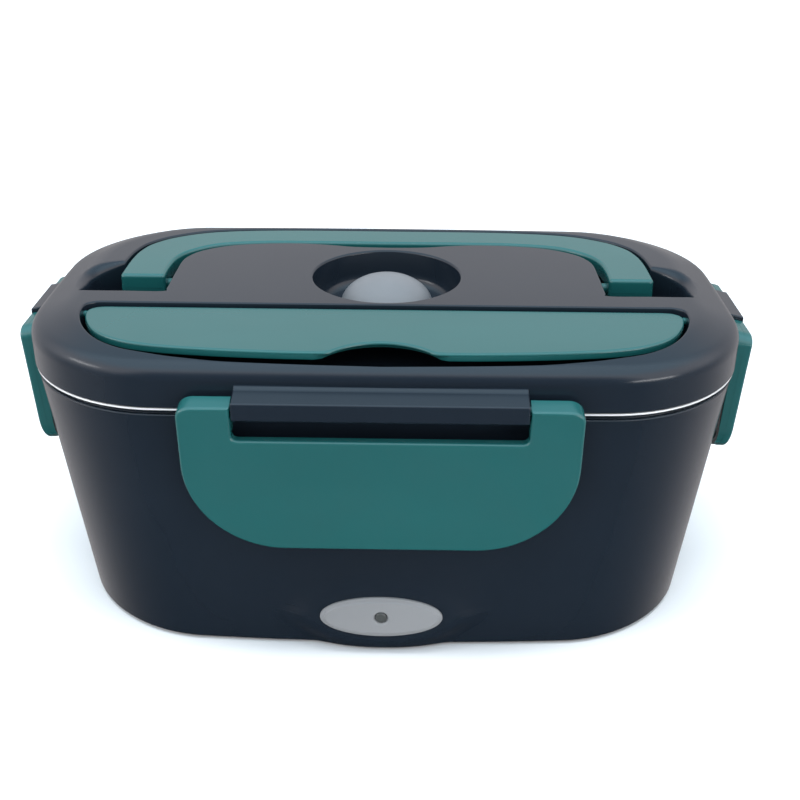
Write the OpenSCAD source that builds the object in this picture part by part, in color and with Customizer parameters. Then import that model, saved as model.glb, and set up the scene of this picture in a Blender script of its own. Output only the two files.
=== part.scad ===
// Electric lunch box: heated body, steel food container and a clip-on lid with
// a folding carry handle, a covered cutlery compartment and a steam vent.
// Millimetres. +Z is up, the front with the indicator faces -Y, and the origin
// is on the table under the middle of the box.

/* [Body] */
// Half width of the body at its bottom edge
body_a0 = 103.85; // [102:0.05:105]
// Half depth of the body at its bottom edge
body_b0 = 57.9; // [57:0.05:58.5]
// Corner radius of the body at its bottom edge
body_r0 = 42.1; // [38:0.1:44]
// Height of the body's top edge
body_h = 88.4; // [88.3:0.05:88.45]
// Wall thickness of the body
body_t = 2.4; // [2:0.1:2.6]
// Underside of the floor that carries the heating tray
floor_z = 22; // [21.8:0.1:22.2]

/* [Lid] */
// Half width of the lid
lid_a = 112; // [111.8:0.05:112.2]
// Half depth of the lid
lid_b = 64.4; // [64.3:0.05:64.6]
// Corner radius of the lid
lid_r = 43; // [41:0.1:44]
// Height of the flat top of the lid
lid_z = 106.55; // [106.3:0.05:107]
// Width of the sloping shoulder round the flat top
shoulder_w = 13; // [12:0.1:13.5]
// Radius of the round vent recess
vent_r = 24.5; // [23:0.1:24.8]
// Centre of the vent recess behind the middle of the lid
vent_y = 2; // [1.8:0.1:3]

/* [Handle] */
// Thickness of the carry handle
handle_t = 5.5; // [4.5:0.1:5.6]
// Radius of the handle's pivot pins
handle_pin_r = 1.7; // [1.5:0.05:2.2]
// Height of the handle's pivot axis
handle_pz = 101.6; // [101.4:0.1:102]

/* [Latches] */
// Half width of the front and back latches
latch_hw = 58.1; // [56:0.1:59]
// Half width of the side latches
side_hw = 25.8; // [25:0.1:27]
// Side latches stand this far behind the middle
side_y = 8.7; // [6:0.1:9]
// Thickness of a latch flap
latch_t = 2.8; // [2.4:0.1:2.9]
// Radius of the latch pivot pins
latch_pin_r = 1.3; // [1.1:0.05:1.35]

/* [Container] */
// Thickness of the steel sheet
steel_t = 0.7; // [0.6:0.05:0.8]
// Height of the inside of the container's bottom
steel_z = 25.9; // [25.85:0.05:26.5]

/* [Hidden] */
$fn = 48;
run = 0.05;               // radial clearance of every pivot
lid_sx = 2.06; lid_sy = 2.08;
body_sx = 2.57; body_sy = 5.7;
lid_bottom = 89.3;
latch_out = 3.8;          // pivot axis outside the lid's wall
latch_pz = 92.4;          // height of the latch pivots
ear_top = 2.7;            // top of a latch ear above the pivot, before its slope
latch_tilt = 3.55;
strap_x = -20;            // heater strap and its two bosses
front_iw = 42.6; side_iw = 12.0;

NAVY = [0.12, 0.15, 0.21]; TEAL = [0.13, 0.42, 0.40]; STEEL = [0.78, 0.78, 0.78];

// ---------- outline of the box: a rounded rectangle with slightly bowed sides
function quarter(a, b, r, sx, sy) = let (aa = a - sx, bb = b - sy)
    let (q = concat([for (i = [0:2]) [aa, (bb - r) * i / 3]],
        [for (i = [0:9]) [aa - r + r * cos(10 * i), bb - r + r * sin(10 * i)]],
        [for (i = [1:4]) [(aa - r) * (1 - i / 4), bb]]))
    [for (p = q) [p.x + sx * (1 - pow(p.y / bb, 2)), p.y + sy * (1 - pow(p.x / aa, 2))]];
function ring(a, b, r, sx, sy) = let (q = quarter(a, b, r, sx, sy)) concat(q,
    [for (i = [15:-1:0]) [-q[i].x, q[i].y]],
    [for (i = [1:16]) [-q[i].x, -q[i].y]],
    [for (i = [15:-1:1]) [q[i].x, -q[i].y]]);
function lid_ring(i) = ring(lid_a - i, lid_b - i, lid_r - i, lid_sx, lid_sy);
function mix(u, v, t) = u + (v - u) * t;
function body_ring(z, i) = let (t = z / body_h) ring(
    mix(body_a0, lid_a - 0.55, t) - i, mix(body_b0, lid_b - 0.55, t) - i,
    mix(body_r0, lid_r - 0.5, t) - i, mix(body_sx, lid_sx, t), mix(body_sy, lid_sy, t));
function rrect(a, b, r) = ring(a, b, r, 0, 0);

// Skin through a list of [ring, z]; ends in two caps, or closes on itself
module loft(rs, closed = false) {
    n = len(rs[0][0]); m = len(rs); e = closed ? m : m - 1;
    pts = concat([for (r = rs) for (p = r[0]) [p.x, p.y, r[1]]],
        closed ? [] : [[0, 0, rs[0][1]], [0, 0, rs[m - 1][1]]]);
    tri = [for (j = [0:e - 1]) for (i = [0:n - 1])
        let (a = j * n + i, b = j * n + (i + 1) % n,
             c = ((j + 1) % m) * n + (i + 1) % n, d = ((j + 1) % m) * n + i)
        each [[a, d, c], [a, c, b]]];
    caps = closed ? [] : [for (i = [0:n - 1]) each
        [[n * m, i, (i + 1) % n], [n * m + 1, (m - 1) * n + (i + 1) % n, (m - 1) * n + i]]];
    polyhedron(points = pts, faces = concat(tri, caps));
}

// ---------- smooth closed curves through a few points
function cr(p, t) = 0.5 * ((2 * p[1]) + (p[2] - p[0]) * t
    + (2 * p[0] - 5 * p[1] + 4 * p[2] - p[3]) * t * t
    + (3 * p[1] - p[0] - 3 * p[2] + p[3]) * t * t * t);
function curve(c, k = 3) = let (n = len(c)) concat(
    [for (i = [0:n - 2]) for (j = [0:k - 1])
        cr([c[max(i - 1, 0)], c[i], c[i + 1], c[min(i + 2, n - 1)]], j / k)], [c[n - 1]]);
// a right half from front middle to back middle, mirrored to a closed outline
function both(c) = concat(c, [for (i = [len(c) - 2:-1:1]) [-c[i].x, c[i].y]]);
function grow(p, g) = let (n = len(p)) [for (i = [0:n - 1])
    let (t = p[(i + 1) % n] - p[(i + n - 1) % n]) p[i] + g * [t.y, -t.x] / norm(t)];

pocket_half = curve([[0, -61.4], [23, -61], [45, -60.2], [57, -58.9], [66, -57.4],
    [75, -55], [81.5, -51.5], [86.5, -47], [90.5, -41], [92.8, -34.5], [93.3, -29.5],
    [92.9, -26.9], [91.3, -25.2], [88.5, -24.5], [80, -24.5], [64, -24.5],
    [34, -24.5], [0, -24.5]]);
cover_half = curve([[0, -59], [23, -58.8], [34, -58.4], [46, -57.6], [57.5, -56.4],
    [66.5, -55], [75, -52.6], [82, -48.7], [86.9, -43.8], [90.3, -37.5], [92, -32],
    [92.1, -29.2], [90.8, -27], [87.5, -25.7], [80, -25.6], [64, -25.6], [34, -25.6], [0, -25.6]]);
handle_outer = curve([[88.6, -0.4], [88.6, 8], [88.4, 16], [87.4, 24], [84.4, 32],
    [76.8, 39.8], [63, 46], [39, 48.7], [0, 49]]);
handle_inner = curve([[73.8, -0.4], [73.8, 10], [72.6, 18.5], [68.5, 25.6],
    [60, 31.8], [46, 34.6], [33, 35.2], [0, 35.2]]);
groove_inner = curve([[70.9, -4], [70.9, 10], [69.8, 18], [65.4, 25], [56.5, 30.6],
    [45, 33.2], [32, 33.9], [22, 32.8], [12, 30.8], [0, 30.2]]);
function u_shape(o, i) = concat(o, [for (k = [len(o) - 2:-1:0]) [-o[k].x, o[k].y]],
    [for (p = i) [-p.x, p.y]], [for (k = [len(i) - 2:-1:0]) i[k]]);

// ================= body =================
module body_skin() {
    i = body_t; f = floor_z;
    loft([[body_ring(0.9, 3.2), 0.9], [body_ring(1.8, 1.9), 1.8], [body_ring(3, 0.7), 3],
        [body_ring(5, 0), 5], [body_ring(46, 0), 46], [body_ring(87, 0), 87],
        [body_ring(87.3, 0.4), 87.3], [body_ring(87.3, 1.3), 87.3],
        [body_ring(body_h, 1.3), body_h], [body_ring(body_h, i), body_h],
        [body_ring(30, i), 30], [body_ring(f + 3, i + 1), f + 3], [body_ring(f + 2, i + 4), f + 2],
        [rrect(59.5, 31.5, 20.5), f + 2], [rrect(59.5, 31.5, 20.5), f],
        [body_ring(f, i), f], [body_ring(5, i), 5], [body_ring(0.9, i + 2), 0.9]], true);
}
function post_xy() = [[82, 38], [-82, 38], [-82, -38], [82, -38]];
function tray_xy() = [[69, 26], [-69, 26], [-69, -26], [69, -26]];
function oval(a, b, n = 40) = [for (i = [0:n - 1]) [a * cos(360 * i / n), b * sin(360 * i / n)]];
// swelling under the indicator, from the wall out to a flat oval
module bump() {
    translate([0, -56.2, 15.2]) rotate([90, 0, 0])
        loft([[oval(27.5, 14), 0], [oval(26, 13.4), 2.6], [oval(23, 11), 4.9], [oval(21, 9.4), 6.2]]);
}
// rib that the latch hooks under; y is the wall, z 0 is its lower edge
module catch_rib(h) {
    rotate([90, 0, 90]) translate([0, 0, -h]) linear_extrude(2 * h)
        polygon([[1.2, 0], [-2.4, 0], [-2.4, 1.2], [-1, 3], [1.2, 3]]);
}
module body_shell() {
    color(NAVY) difference() {
        union() {
            body_skin();
            bump();
            translate([0, -63.2, 76]) catch_rib(22);
            translate([0, 63.2, 76]) rotate([0, 0, 180]) catch_rib(22);
            translate([110.5, side_y, 76]) rotate([0, 0, 90]) catch_rib(8.5);
            translate([-110.5, side_y, 76]) rotate([0, 0, -90]) catch_rib(8.5);
            for (p = post_xy()) translate([p.x, p.y, 3.05]) cylinder(r = 4, h = floor_z - 2.5);
            for (p = tray_xy()) translate([p.x, p.y, 19]) cylinder(r = 3.6, h = 3.5);
            for (s = [-1, 1]) translate([strap_x, s * 40, 17.1]) cylinder(r = 3.4, h = 5.4);
            translate([-14.5, 55, 5]) cube([29, 4.2, 17.4]);
        }
        translate([-10, 50, 8.1]) cube([20, 14, 10.8]);
        translate([0, -50, 15.2]) rotate([90, 0, 0]) cylinder(r = 2, h = 16);
        for (p = post_xy()) translate([p.x, p.y, 3]) cylinder(r = 1.25 + run, h = 12);
        for (p = tray_xy()) translate([p.x, p.y, 18.9]) cylinder(r = 1.25 + run, h = 4);
        for (s = [-1, 1]) translate([strap_x, s * 40, 17]) cylinder(r = 1.25 + run, h = 6);
    }
}
module base_plate() {
    color(NAVY) difference() {
        translate([0, 0, 1]) linear_extrude(2) polygon(body_ring(1, 5.4));
        for (p = post_xy()) translate([p.x, p.y, 0]) {
            cylinder(r = 1.6, h = 4);
            cylinder(r = 3, h = 2);
        }
        for (x = [-68, 68], y = [-30, 30]) translate([x, y, 0]) cylinder(r = 6.1, h = 1.7);
    }
}
module rubber_feet() {
    color([0.08, 0.08, 0.09]) for (x = [-68, 68], y = [-30, 30]) translate([x, y, 0])
        rotate_extrude() polygon([[0, 0], [5.2, 0], [6, 0.8], [6, 1.7], [0, 1.7]]);
}
module screw(head_r, head_h, shank_r, shank_l) {
    difference() {
        union() {
            cylinder(r = head_r, h = head_h);
            cylinder(r = shank_r, h = head_h + shank_l);
        }
        for (a = [0, 90]) rotate([0, 0, a]) translate([-head_r * 0.6, -0.3, -0.1])
            cube([head_r * 1.2, 0.6, 0.6]);
    }
}
module base_screws() {
    color(STEEL) for (p = post_xy()) translate([p.x, p.y, 1.1]) screw(2.7, 0.9, 1.25, 11);
}
// pressed aluminium tray whose top plate stands through the floor
module heating_tray() {
    color([0.8, 0.81, 0.82]) difference() {
        union() {
            translate([0, 0, 17.2]) linear_extrude(7.9) polygon(rrect(59, 31, 20));
            translate([0, 0, 17.2]) linear_extrude(1.7) polygon(rrect(64, 35, 22));
            for (p = tray_xy()) translate([p.x, p.y, 17.2]) cylinder(r = 4, h = 1.7);
            for (s = [-1, 1]) translate([s > 0 ? 58 : -69, -30, 17.2]) cube([11, 60, 1.7]);
        }
        translate([0, 0, 17.1]) linear_extrude(6) polygon(rrect(57.2, 29.2, 18.2));
        for (p = tray_xy()) translate([p.x, p.y, 17]) cylinder(r = 1.6, h = 3);
    }
}
module tray_screws() {
    color(STEEL) for (p = tray_xy()) translate([p.x, p.y, 15.7]) screw(2.6, 1.4, 1.25, 4.8);
}
module heater_element() {
    color([0.86, 0.84, 0.78]) difference() {
        translate([-40, -15, 17.15]) cube([72, 30, 5.9]);
        for (x = [-34, 26]) translate([x, 0, 17]) cylinder(r = 1.5, h = 3);
    }
}
module heater_strap() {
    color(STEEL) difference() {
        union() {
            translate([strap_x - 7, -40, 15.8]) cube([14, 80, 1.2]);
            for (s = [-1, 1]) translate([strap_x, s * 40, 15.8]) cylinder(r = 7, h = 1.2);
        }
        for (s = [-1, 1]) translate([strap_x, s * 40, 15]) cylinder(r = 1.6, h = 3);
    }
}
module strap_screws() {
    color(STEEL) for (s = [-1, 1]) translate([strap_x, s * 40, 14.3]) screw(2.6, 1.4, 1.25, 6);
}
module thermal_cutout() {
    color([0.25, 0.22, 0.2]) translate([44, 0, 0]) {
        translate([0, 0, 18]) cylinder(r = 6.5, h = 5.05);
        translate([-2.5, -13.5, 18.6]) cube([5, 27, 0.9]);
    }
}
module power_inlet() {
    color([0.07, 0.07, 0.08]) difference() {
        union() {
            translate([-9.9, 43, 8.2]) cube([19.8, 17, 10.6]);
            translate([0, 60.8, 13.5]) rotate([90, 0, 0]) linear_extrude(1.55)
                polygon(rrect(12.6, 7.4, 3));
        }
        translate([0, 61, 13.5]) rotate([90, 0, 0]) {
            for (s = [-1, 1]) translate([s * 4.3, 0, 0]) cylinder(r = 3.8, h = 13.2);
            translate([-4.3, -3.1, 0]) cube([8.6, 6.2, 13.2]);
        }
        for (s = [-1, 1]) translate([s * 4.3, 50, 13.5]) rotate([90, 0, 0]) cylinder(r = 1.22, h = 10);
    }
}
module inlet_pins() {
    color(STEEL) for (s = [-1, 1]) translate([s * 4.3, 40, 13.5]) rotate([-90, 0, 0]) {
        cylinder(r = 1.2, h = 17);
        translate([0, 0, 17]) cylinder(r1 = 1.2, r2 = 0.5, h = 1);
    }
}
// ---------- wires, swept along hand-set routes
function along(c, k) = curve(c, k);
module wire(c, r = 0.9, k = 4) {
    p = along(c, k); n = len(p);
    ref = [0.31, 0.52, 0.8];
    pts = [for (i = [0:n - 1]) let (t = p[min(i + 1, n - 1)] - p[max(i - 1, 0)],
        u = cross(t, ref) / norm(cross(t, ref)), v = cross(u, t) / norm(cross(u, t)))
        for (a = [0:45:315]) p[i] + r * (cos(a) * u + sin(a) * v)];
    polyhedron(points = concat(pts, [p[0], p[n - 1]]), faces = concat(
        [for (j = [0:n - 2]) for (i = [0:7]) let (a = j * 8 + i, b = j * 8 + (i + 1) % 8)
            each [[a, b, b + 8], [a, b + 8, a + 8]]],
        [for (i = [0:7]) each [[n * 8, (i + 1) % 8, i],
            [n * 8 + 1, (n - 1) * 8 + i, (n - 1) * 8 + (i + 1) % 8]]]));
}
module wire_live() {
    color([0.5, 0.25, 0.12]) wire([[4.3, 39.85, 13.5], [5, 34, 12], [12, 26, 9], [26, 18, 8],
        [38, 14, 9], [43, 12.2, 13], [44, 12, 16.6], [44, 12, 18.3]]);
}
module wire_link() {
    color([0.75, 0.2, 0.15]) wire([[32.15, -6, 20], [34.5, -6, 20], [36, -9, 17],
        [40, -11.9, 15.2], [44, -12, 16.6], [44, -12, 18.3]]);
}
module wire_neutral() {
    color([0.2, 0.3, 0.6]) wire([[-40.15, 6, 20], [-44, 6, 19], [-47, 8, 14], [-42, 16, 9],
        [-26, 26, 8], [-10, 32, 10], [-5, 35, 12.5], [-4.3, 39.85, 13.5]]);
}
module wire_indicator() {
    color([0.8, 0.8, 0.78]) for (s = [-1, 1])
        wire([[s * 5, -49.3, 12], [s * 5, -46, 11], [s * 8, -36, 7], [s * 12, -10, 6],
            [s * 13, 20, 6], [s * 9, 32, 8], [s * 6.8, 37, 11], [s * 6.12, 40, 13.3], [s * 6.12, 41.5, 13.5]], 0.6);
}
module indicator_board() {
    color([0.1, 0.35, 0.2]) difference() {
        translate([-9, -51, 8.5]) cube([18, 1.6, 12.7]);
        for (s = [-1, 1]) translate([s * 1.27, -48, 15.2]) rotate([90, 0, 0]) cylinder(r = 0.4, h = 5);
    }
}
module indicator_led() {
    color([0.9, 0.3, 0.2]) translate([0, -51, 15.2]) rotate([90, 0, 0]) {
        cylinder(r = 1.7, h = 1);
        cylinder(r = 1.5, h = 3.4);
        translate([0, 0, 3.4]) sphere(r = 1.5);
    }
}
module indicator_lens() {
    color([0.35, 0.36, 0.38]) translate([0, -56.6, 15.2]) rotate([90, 0, 0])
        cylinder(r = 1.95, h = 7.5);
}
module indicator_plate() {
    color([0.66, 0.66, 0.65]) difference() {
        translate([0, -62.4, 15.2]) rotate([90, 0, 0]) union() {
            linear_extrude(0.9) polygon(oval(19.5, 7.5, 64));
            translate([0, 0, 0.9]) linear_extrude(0.5) polygon(oval(18.9, 6.9, 64));
        }
        translate([0, -60, 15.2]) rotate([90, 0, 0]) cylinder(r = 2, h = 6);
    }
}
// ================= steel container =================
module steel_container() {
    t = steel_t; z = steel_z; zb = z - t;
    bx = function (i) ring(97.5 - i, 51 - i, 34 - i, 1.8, 2.6);
    tx = function (i) lid_ring(6.2 + i);
    color(STEEL) loft([[bx(8 + t), zb], [bx(2.6 + t), zb + 1], [bx(0.6 + t / 2), zb + 4], [bx(0), zb + 9],
        [tx(0), 86.4], [tx(-0.5), 88], [tx(-1.2), 88.5], [lid_ring(1.35), 88.5],
        [lid_ring(1.2), 88.1], [lid_ring(0.5), 88.05], [lid_ring(0.25), 88.35],
        [lid_ring(0.3), 88.8], [lid_ring(0.5), 89.1],
        [tx(-1.2), 89.1], [tx(-0.3 + t / 2), 88.6], [tx(t), 86.8], [bx(t), zb + 9.2],
        [bx(0.8 + t * 1.4), zb + 4.4], [bx(2.8 + t * 1.5), zb + t + 1.1], [bx(8 + t), zb + t]]);
}
// ================= lid =================
function lid_top(i) = i >= shoulder_w ? lid_z : lid_z - 0.35 * (shoulder_w - i);
shoulder_z = lid_z - 8;
lid_s5 = lid_z - 0.35 * (shoulder_w - 5);
module lid_solid(i, dz, z0) {
    loft(concat([[lid_ring(i), z0], [lid_ring(i), shoulder_z - dz]],
        [for (t = [30, 55, 75, 90]) [lid_ring(i + 5 * (1 - cos(t))), shoulder_z - dz + (lid_s5 - shoulder_z) * sin(t)]],
        [[lid_ring(i + shoulder_w), lid_z - dz]]));
}
module lid_skin() {
    t = 2.4;
    loft(concat([[lid_ring(14.5), lid_z - 2.4], [lid_ring(7.5), lid_s5 - 1.7], [lid_ring(4), shoulder_z + 2],
            [lid_ring(t), shoulder_z - 1], [lid_ring(t), lid_bottom]],
        [[lid_ring(0.5), lid_bottom], [lid_ring(0), lid_bottom + 0.5], [lid_ring(0), shoulder_z]],
        [for (a = [30, 55, 75, 90]) [lid_ring(5 * (1 - cos(a))), shoulder_z + (lid_s5 - shoulder_z) * sin(a)]],
        [[lid_ring(shoulder_w), lid_z]]));
}
module groove_2d(g) {
    polygon(grow(u_shape(concat([[89.6, -4]], grow_open(handle_outer, 1)),
        groove_inner), g));
}
function grow_open(p, g) = let (n = len(p)) [for (i = [0:n - 1])
    let (t = p[min(i + 1, n - 1)] - p[max(i - 1, 0)]) p[i] + g * [t.y, -t.x] / norm(t)];
// deep pocket round the end of a handle arm
end_pocket = curve([[71.6, -14.5], [84, -14.5], [97, -14.5], [98.4, -13], [98.4, -4], [98.2, 3],
    [95.4, 8], [90, 12.2], [84, 14], [76, 14.4], [71.6, 14.2], [70.9, 12.5], [70.9, 0], [70.9, -11.5], [71.6, -14.5]], 2);
function open_ring(p) = [for (i = [0:len(p) - 2]) p[i]];
module pocket_2d(g) { polygon(grow(open_ring(end_pocket), g)); }
module tub(z) { translate([0, 0, z]) linear_extrude(lid_z - z) children(); }
comp_z = 94.6; pocket_z = 95.4; groove_z = 100.5; vent_z = 94.6;

// bar along X that the latch pins turn in; y 0 is the lid's wall
module hinge_bar(h) {
    difference() {
        rotate([90, 0, 90]) translate([0, 0, -h]) linear_extrude(2 * h)
            polygon([[2, 96.9], [0, 96.5], [-6.7, 94.9], [-7.2, 94.3], [-7.2, 89.9], [-6.6, 89.3], [2, 89.3]]);
        for (s = [-1, 1]) translate([s * (h + 0.1), -latch_out, latch_pz]) rotate([0, -90 * s, 0])
            cylinder(r = latch_pin_r + run, h = 4.8);
    }
}
module lid_shell() {
    color([0.2, 0.22, 0.27]) difference() {
        union() {
            lid_skin();
            intersection() {
                lid_solid(1.3, 1, 92.8);
                union() {
                    tub(comp_z - 1.7) polygon(grow(both(pocket_half), 1.8));
                    tub(groove_z - 1.7) groove_2d(1.8);
                    for (s = [0, 1]) mirror([s, 0, 0]) {
                        tub(pocket_z - 1.7) pocket_2d(1.8);
                        translate([63.5, -1.5, 96]) cube([7.2, 13, 12]);
                        translate([93, -33, 100]) cube([4.5, 9.5, 7]);
                    }
                    translate([0, vent_y, vent_z - 1.7]) cylinder(r = vent_r + 2, h = 12);
                    for (x = [-50, 50], y = [-12, 20]) translate([x, y, 92.85]) cylinder(r = 3.2, h = 12);
                }
            }
            translate([0, -lid_b, 0]) hinge_bar(42.2);
            translate([0, lid_b, 0]) rotate([0, 0, 180]) hinge_bar(42.2);
            translate([lid_a, side_y, 0]) rotate([0, 0, 90]) hinge_bar(11.6);
            translate([-lid_a, side_y, 0]) rotate([0, 0, -90]) hinge_bar(11.6);
        }
        translate([0, 0, comp_z]) linear_extrude(20) polygon(both(pocket_half));
        translate([0, 0, groove_z]) linear_extrude(20) groove_2d(0);
        for (s = [0, 1]) mirror([s, 0, 0]) {
            translate([0, 0, pocket_z]) linear_extrude(20) pocket_2d(0);
            translate([67.2, 5, handle_pz]) rotate([0, 90, 0]) cylinder(r = handle_pin_r + run, h = 6);
            translate([90, -28.6, 103.8]) rotate([0, 90, 0]) cylinder(r = 1.15 + run, h = 5.6);
        }
        translate([0, vent_y, vent_z]) cylinder(r = vent_r, h = 20);
        translate([0, vent_y, 90]) cylinder(r = 4, h = 8);
        for (x = [-50, 50], y = [-12, 20]) translate([x, y, 92]) cylinder(r = 1.25 + run, h = 9);
    }
}
module lid_inner_panel() {
    color([0.75, 0.76, 0.77]) difference() {
        union() {
            translate([0, 0, 91.3]) linear_extrude(1.5) polygon(lid_ring(2.8));
            translate([0, 0, 88.2]) linear_extrude(3.2) polygon(lid_ring(8.2));
        }
        translate([0, vent_y, 80]) cylinder(r = 4, h = 20);
        for (x = [-50, 50], y = [-12, 20]) translate([x, y, 80]) {
            cylinder(r = 1.6, h = 20);
            cylinder(r = 3, h = 10.3);
        }
    }
}
module panel_screws() {
    color(STEEL) for (x = [-50, 50], y = [-12, 20]) translate([x, y, 88.6]) screw(2.6, 1.7, 1.25, 9.5);
}
module lid_seal() {
    color([0.85, 0.86, 0.87]) difference() {
        translate([0, 0, 89.2]) linear_extrude(2.1) polygon(lid_ring(3.4));
        translate([0, 0, 89]) linear_extrude(2.5) polygon(lid_ring(8.2));
        translate([0, 0, 89]) linear_extrude(0.9) difference() {
            polygon(lid_ring(5));
            polygon(lid_ring(6.6));
        }
    }
}
module carry_handle() {
    color(TEAL) union() {
        translate([0, 0, lid_z - handle_t]) linear_extrude(handle_t) polygon(u_shape(handle_outer, handle_inner));
        for (s = [-1, 1]) translate([s * 75, 5, handle_pz]) rotate([0, -90 * s, 0])
            cylinder(r = handle_pin_r, h = 7);
        for (s = [0, 1]) mirror([s, 0, 0]) intersection() {
            translate([73.8, 5, handle_pz]) rotate([0, 90, 0]) cylinder(r = 5.4, h = 14.8);
            translate([73.8, -0.4, 96]) cube([14.8, 11, 7]);
        }
    }
}
module compartment_cover() {
    color(TEAL) union() {
        difference() {
            translate([0, 0, 102.9]) linear_extrude(2.6) polygon(both(cover_half));
            translate([0, -70.5, 100]) cylinder(r = 19.3, h = 8, $fn = 96);
            translate([0, -70.5, 100]) cylinder(r = 21.2, h = 4.6, $fn = 96);
        }
        for (s = [-1, 1]) translate([s * 89, -28.6, 103.8]) rotate([0, 90 * s, 0]) cylinder(r = 1.15, h = 6);
    }
}
module vent_plug() {
    color([0.78, 0.78, 0.84]) translate([0, vent_y, 0]) rotate_extrude($fn = 64)
        polygon([[0, 88.6], [3.95, 88.6], [3.95, vent_z + 0.05], [15.6, vent_z + 0.05], [15.6, 95.8],
            [15.35, 97.7], [14.55, 99.6], [13.3, 101.3], [11.5, 102.9], [9.35, 104.2],
            [6.95, 105.2], [4.3, 105.9], [2.1, 106.2], [0, 106.3]]);
}
// ================= latches =================
// Flap seen from the front, pivot at the origin: a plate with two ears
function ear_arc(hw) = [for (a = [75:-15:0]) [hw - 4.6 + 4.6 * cos(a), ear_top - 4.6 + 4.6 * sin(a)]];
function low_arc(hw, rc, zb) = [for (a = [0:-10:-90]) [hw - rc + rc * cos(a), zb + rc + rc * sin(a)]];
function turned(p) = [for (i = [len(p) - 1:-1:0]) [-p[i].x, p[i].y]];
function flap(hw, iw, rc, zb) = concat([[iw, ear_top], [hw - 4.6, ear_top]],
    ear_arc(hw), low_arc(hw, rc, zb), turned(low_arc(hw, rc, zb)), turned(ear_arc(hw)),
    [[-hw + 4.6, ear_top], [-iw, ear_top]],
    [[-iw, -8], [-iw + 0.3, -8.9], [-iw + 1.3, -9.6], [iw - 1.3, -9.6], [iw - 0.3, -8.9], [iw, -8]]);
// thick ear that carries the pivot pin, x from the notch to the flap's edge
function ear(hw, iw) = concat([[iw, -7.9], [iw, ear_top], [hw - 4.6, ear_top]], ear_arc(hw), [[hw, -7.9]]);
// rim turned in towards the body down one side of the flap, ending at x = mid
function skirt(hw, rc, zb, mid) = let (q = low_arc(hw - 1.8, rc - 1.6, zb + 1.8))
    concat([[hw - 0.2, -7]], low_arc(hw - 0.2, rc, zb + 0.2), [[mid, zb + 0.2], [mid, zb + 1.8]],
        [for (i = [len(q) - 1:-1:0]) q[i]], [[hw - 1.8, -7]]);
module latch(hw, iw, rc, zb, hook) {
    color(TEAL) difference() {
        union() {
            rotate([latch_tilt, 0, 0]) rotate([90, 0, 0]) {
                translate([0, 0, 3.4 - latch_t]) linear_extrude(latch_t) polygon(flap(hw, iw, rc, zb));
                for (s = [0, 1]) mirror([s, 0, 0]) translate([0, 0, -2.4]) linear_extrude(3.1)
                    polygon(grow(ear(hw, iw), 0.1));
            }
            // the rims clear the steel rim and the catch when the lid is lifted off
            difference() {
                rotate([latch_tilt, 0, 0]) rotate([90, 0, 0]) for (s = [0, 1]) mirror([s, 0, 0])
                    translate([0, 0, -2.2]) linear_extrude(3) polygon(skirt(hw, rc, zb, hook + 3));
                translate([-70, 3.6, -60]) cube([140, 5, 60]);
            }
            for (s = [-1, 1]) translate([s * (iw + 1), 0, 0]) rotate([0, -90 * s, 0])
                cylinder(r = latch_pin_r, h = 5.3);
            rotate([90, 0, 90]) translate([0, 0, -hook]) linear_extrude(2 * hook)
                polygon([[0.2, -22.6], [3.4, -19.6], [3.4, -17.4], [2.9, -16.8], [0, -16.8]]);
        }
        // the ears' tops slope down to the front like the hinge bar
        translate([-70, 2.4, 2.5]) rotate([14.5, 0, 0]) translate([0, -12, 0]) cube([140, 14, 5]);
    }
}
module latch_front() { translate([0, -lid_b - latch_out, latch_pz]) latch(latch_hw, front_iw, 29.5, -47.9, 20); }
module latch_back() { translate([0, lid_b + latch_out, latch_pz]) rotate([0, 0, 180]) latch(latch_hw, front_iw, 29.5, -47.9, 20); }
module latch_right() { translate([lid_a + latch_out, side_y, latch_pz]) rotate([0, 0, 90]) latch(side_hw, side_iw, 11, -42.8, 7); }
module latch_left() { translate([-lid_a - latch_out, side_y, latch_pz]) rotate([0, 0, -90]) latch(side_hw, side_iw, 11, -42.8, 7); }

body_shell();
base_plate();
rubber_feet();
base_screws();
heating_tray();
tray_screws();
heater_element();
heater_strap();
strap_screws();
thermal_cutout();
power_inlet();
inlet_pins();
wire_live();
wire_link();
wire_neutral();
wire_indicator();
indicator_board();
indicator_led();
indicator_lens();
indicator_plate();
steel_container();
lid_shell();
lid_inner_panel();
panel_screws();
lid_seal();
carry_handle();
compartment_cover();
vent_plug();
latch_front();
latch_back();
latch_left();
latch_right();
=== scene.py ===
import math

import bmesh
import bpy
import numpy as np
from mathutils import Matrix, Vector
from mathutils.geometry import delaunay_2d_cdt


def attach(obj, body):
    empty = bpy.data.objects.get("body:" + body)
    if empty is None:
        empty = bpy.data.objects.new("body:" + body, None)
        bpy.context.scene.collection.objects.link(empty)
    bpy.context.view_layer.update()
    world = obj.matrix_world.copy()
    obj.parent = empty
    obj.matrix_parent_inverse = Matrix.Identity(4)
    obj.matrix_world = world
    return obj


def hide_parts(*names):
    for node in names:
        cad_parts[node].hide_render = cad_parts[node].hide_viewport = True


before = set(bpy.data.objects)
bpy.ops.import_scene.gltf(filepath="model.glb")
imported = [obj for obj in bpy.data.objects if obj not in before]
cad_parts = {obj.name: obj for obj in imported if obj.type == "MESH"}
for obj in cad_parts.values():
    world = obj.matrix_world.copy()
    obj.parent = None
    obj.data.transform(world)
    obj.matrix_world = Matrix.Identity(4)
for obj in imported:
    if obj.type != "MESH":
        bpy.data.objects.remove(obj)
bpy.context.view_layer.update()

# ---------------------------------------------------------------- outlines (mm)
LID_A, LID_B, LID_R, LID_SX, LID_SY = 112.0, 64.4, 43.0, 2.06, 2.08
LID_Z, SHOULDER = 106.55, 13.0
BODY_H = 88.4


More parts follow.
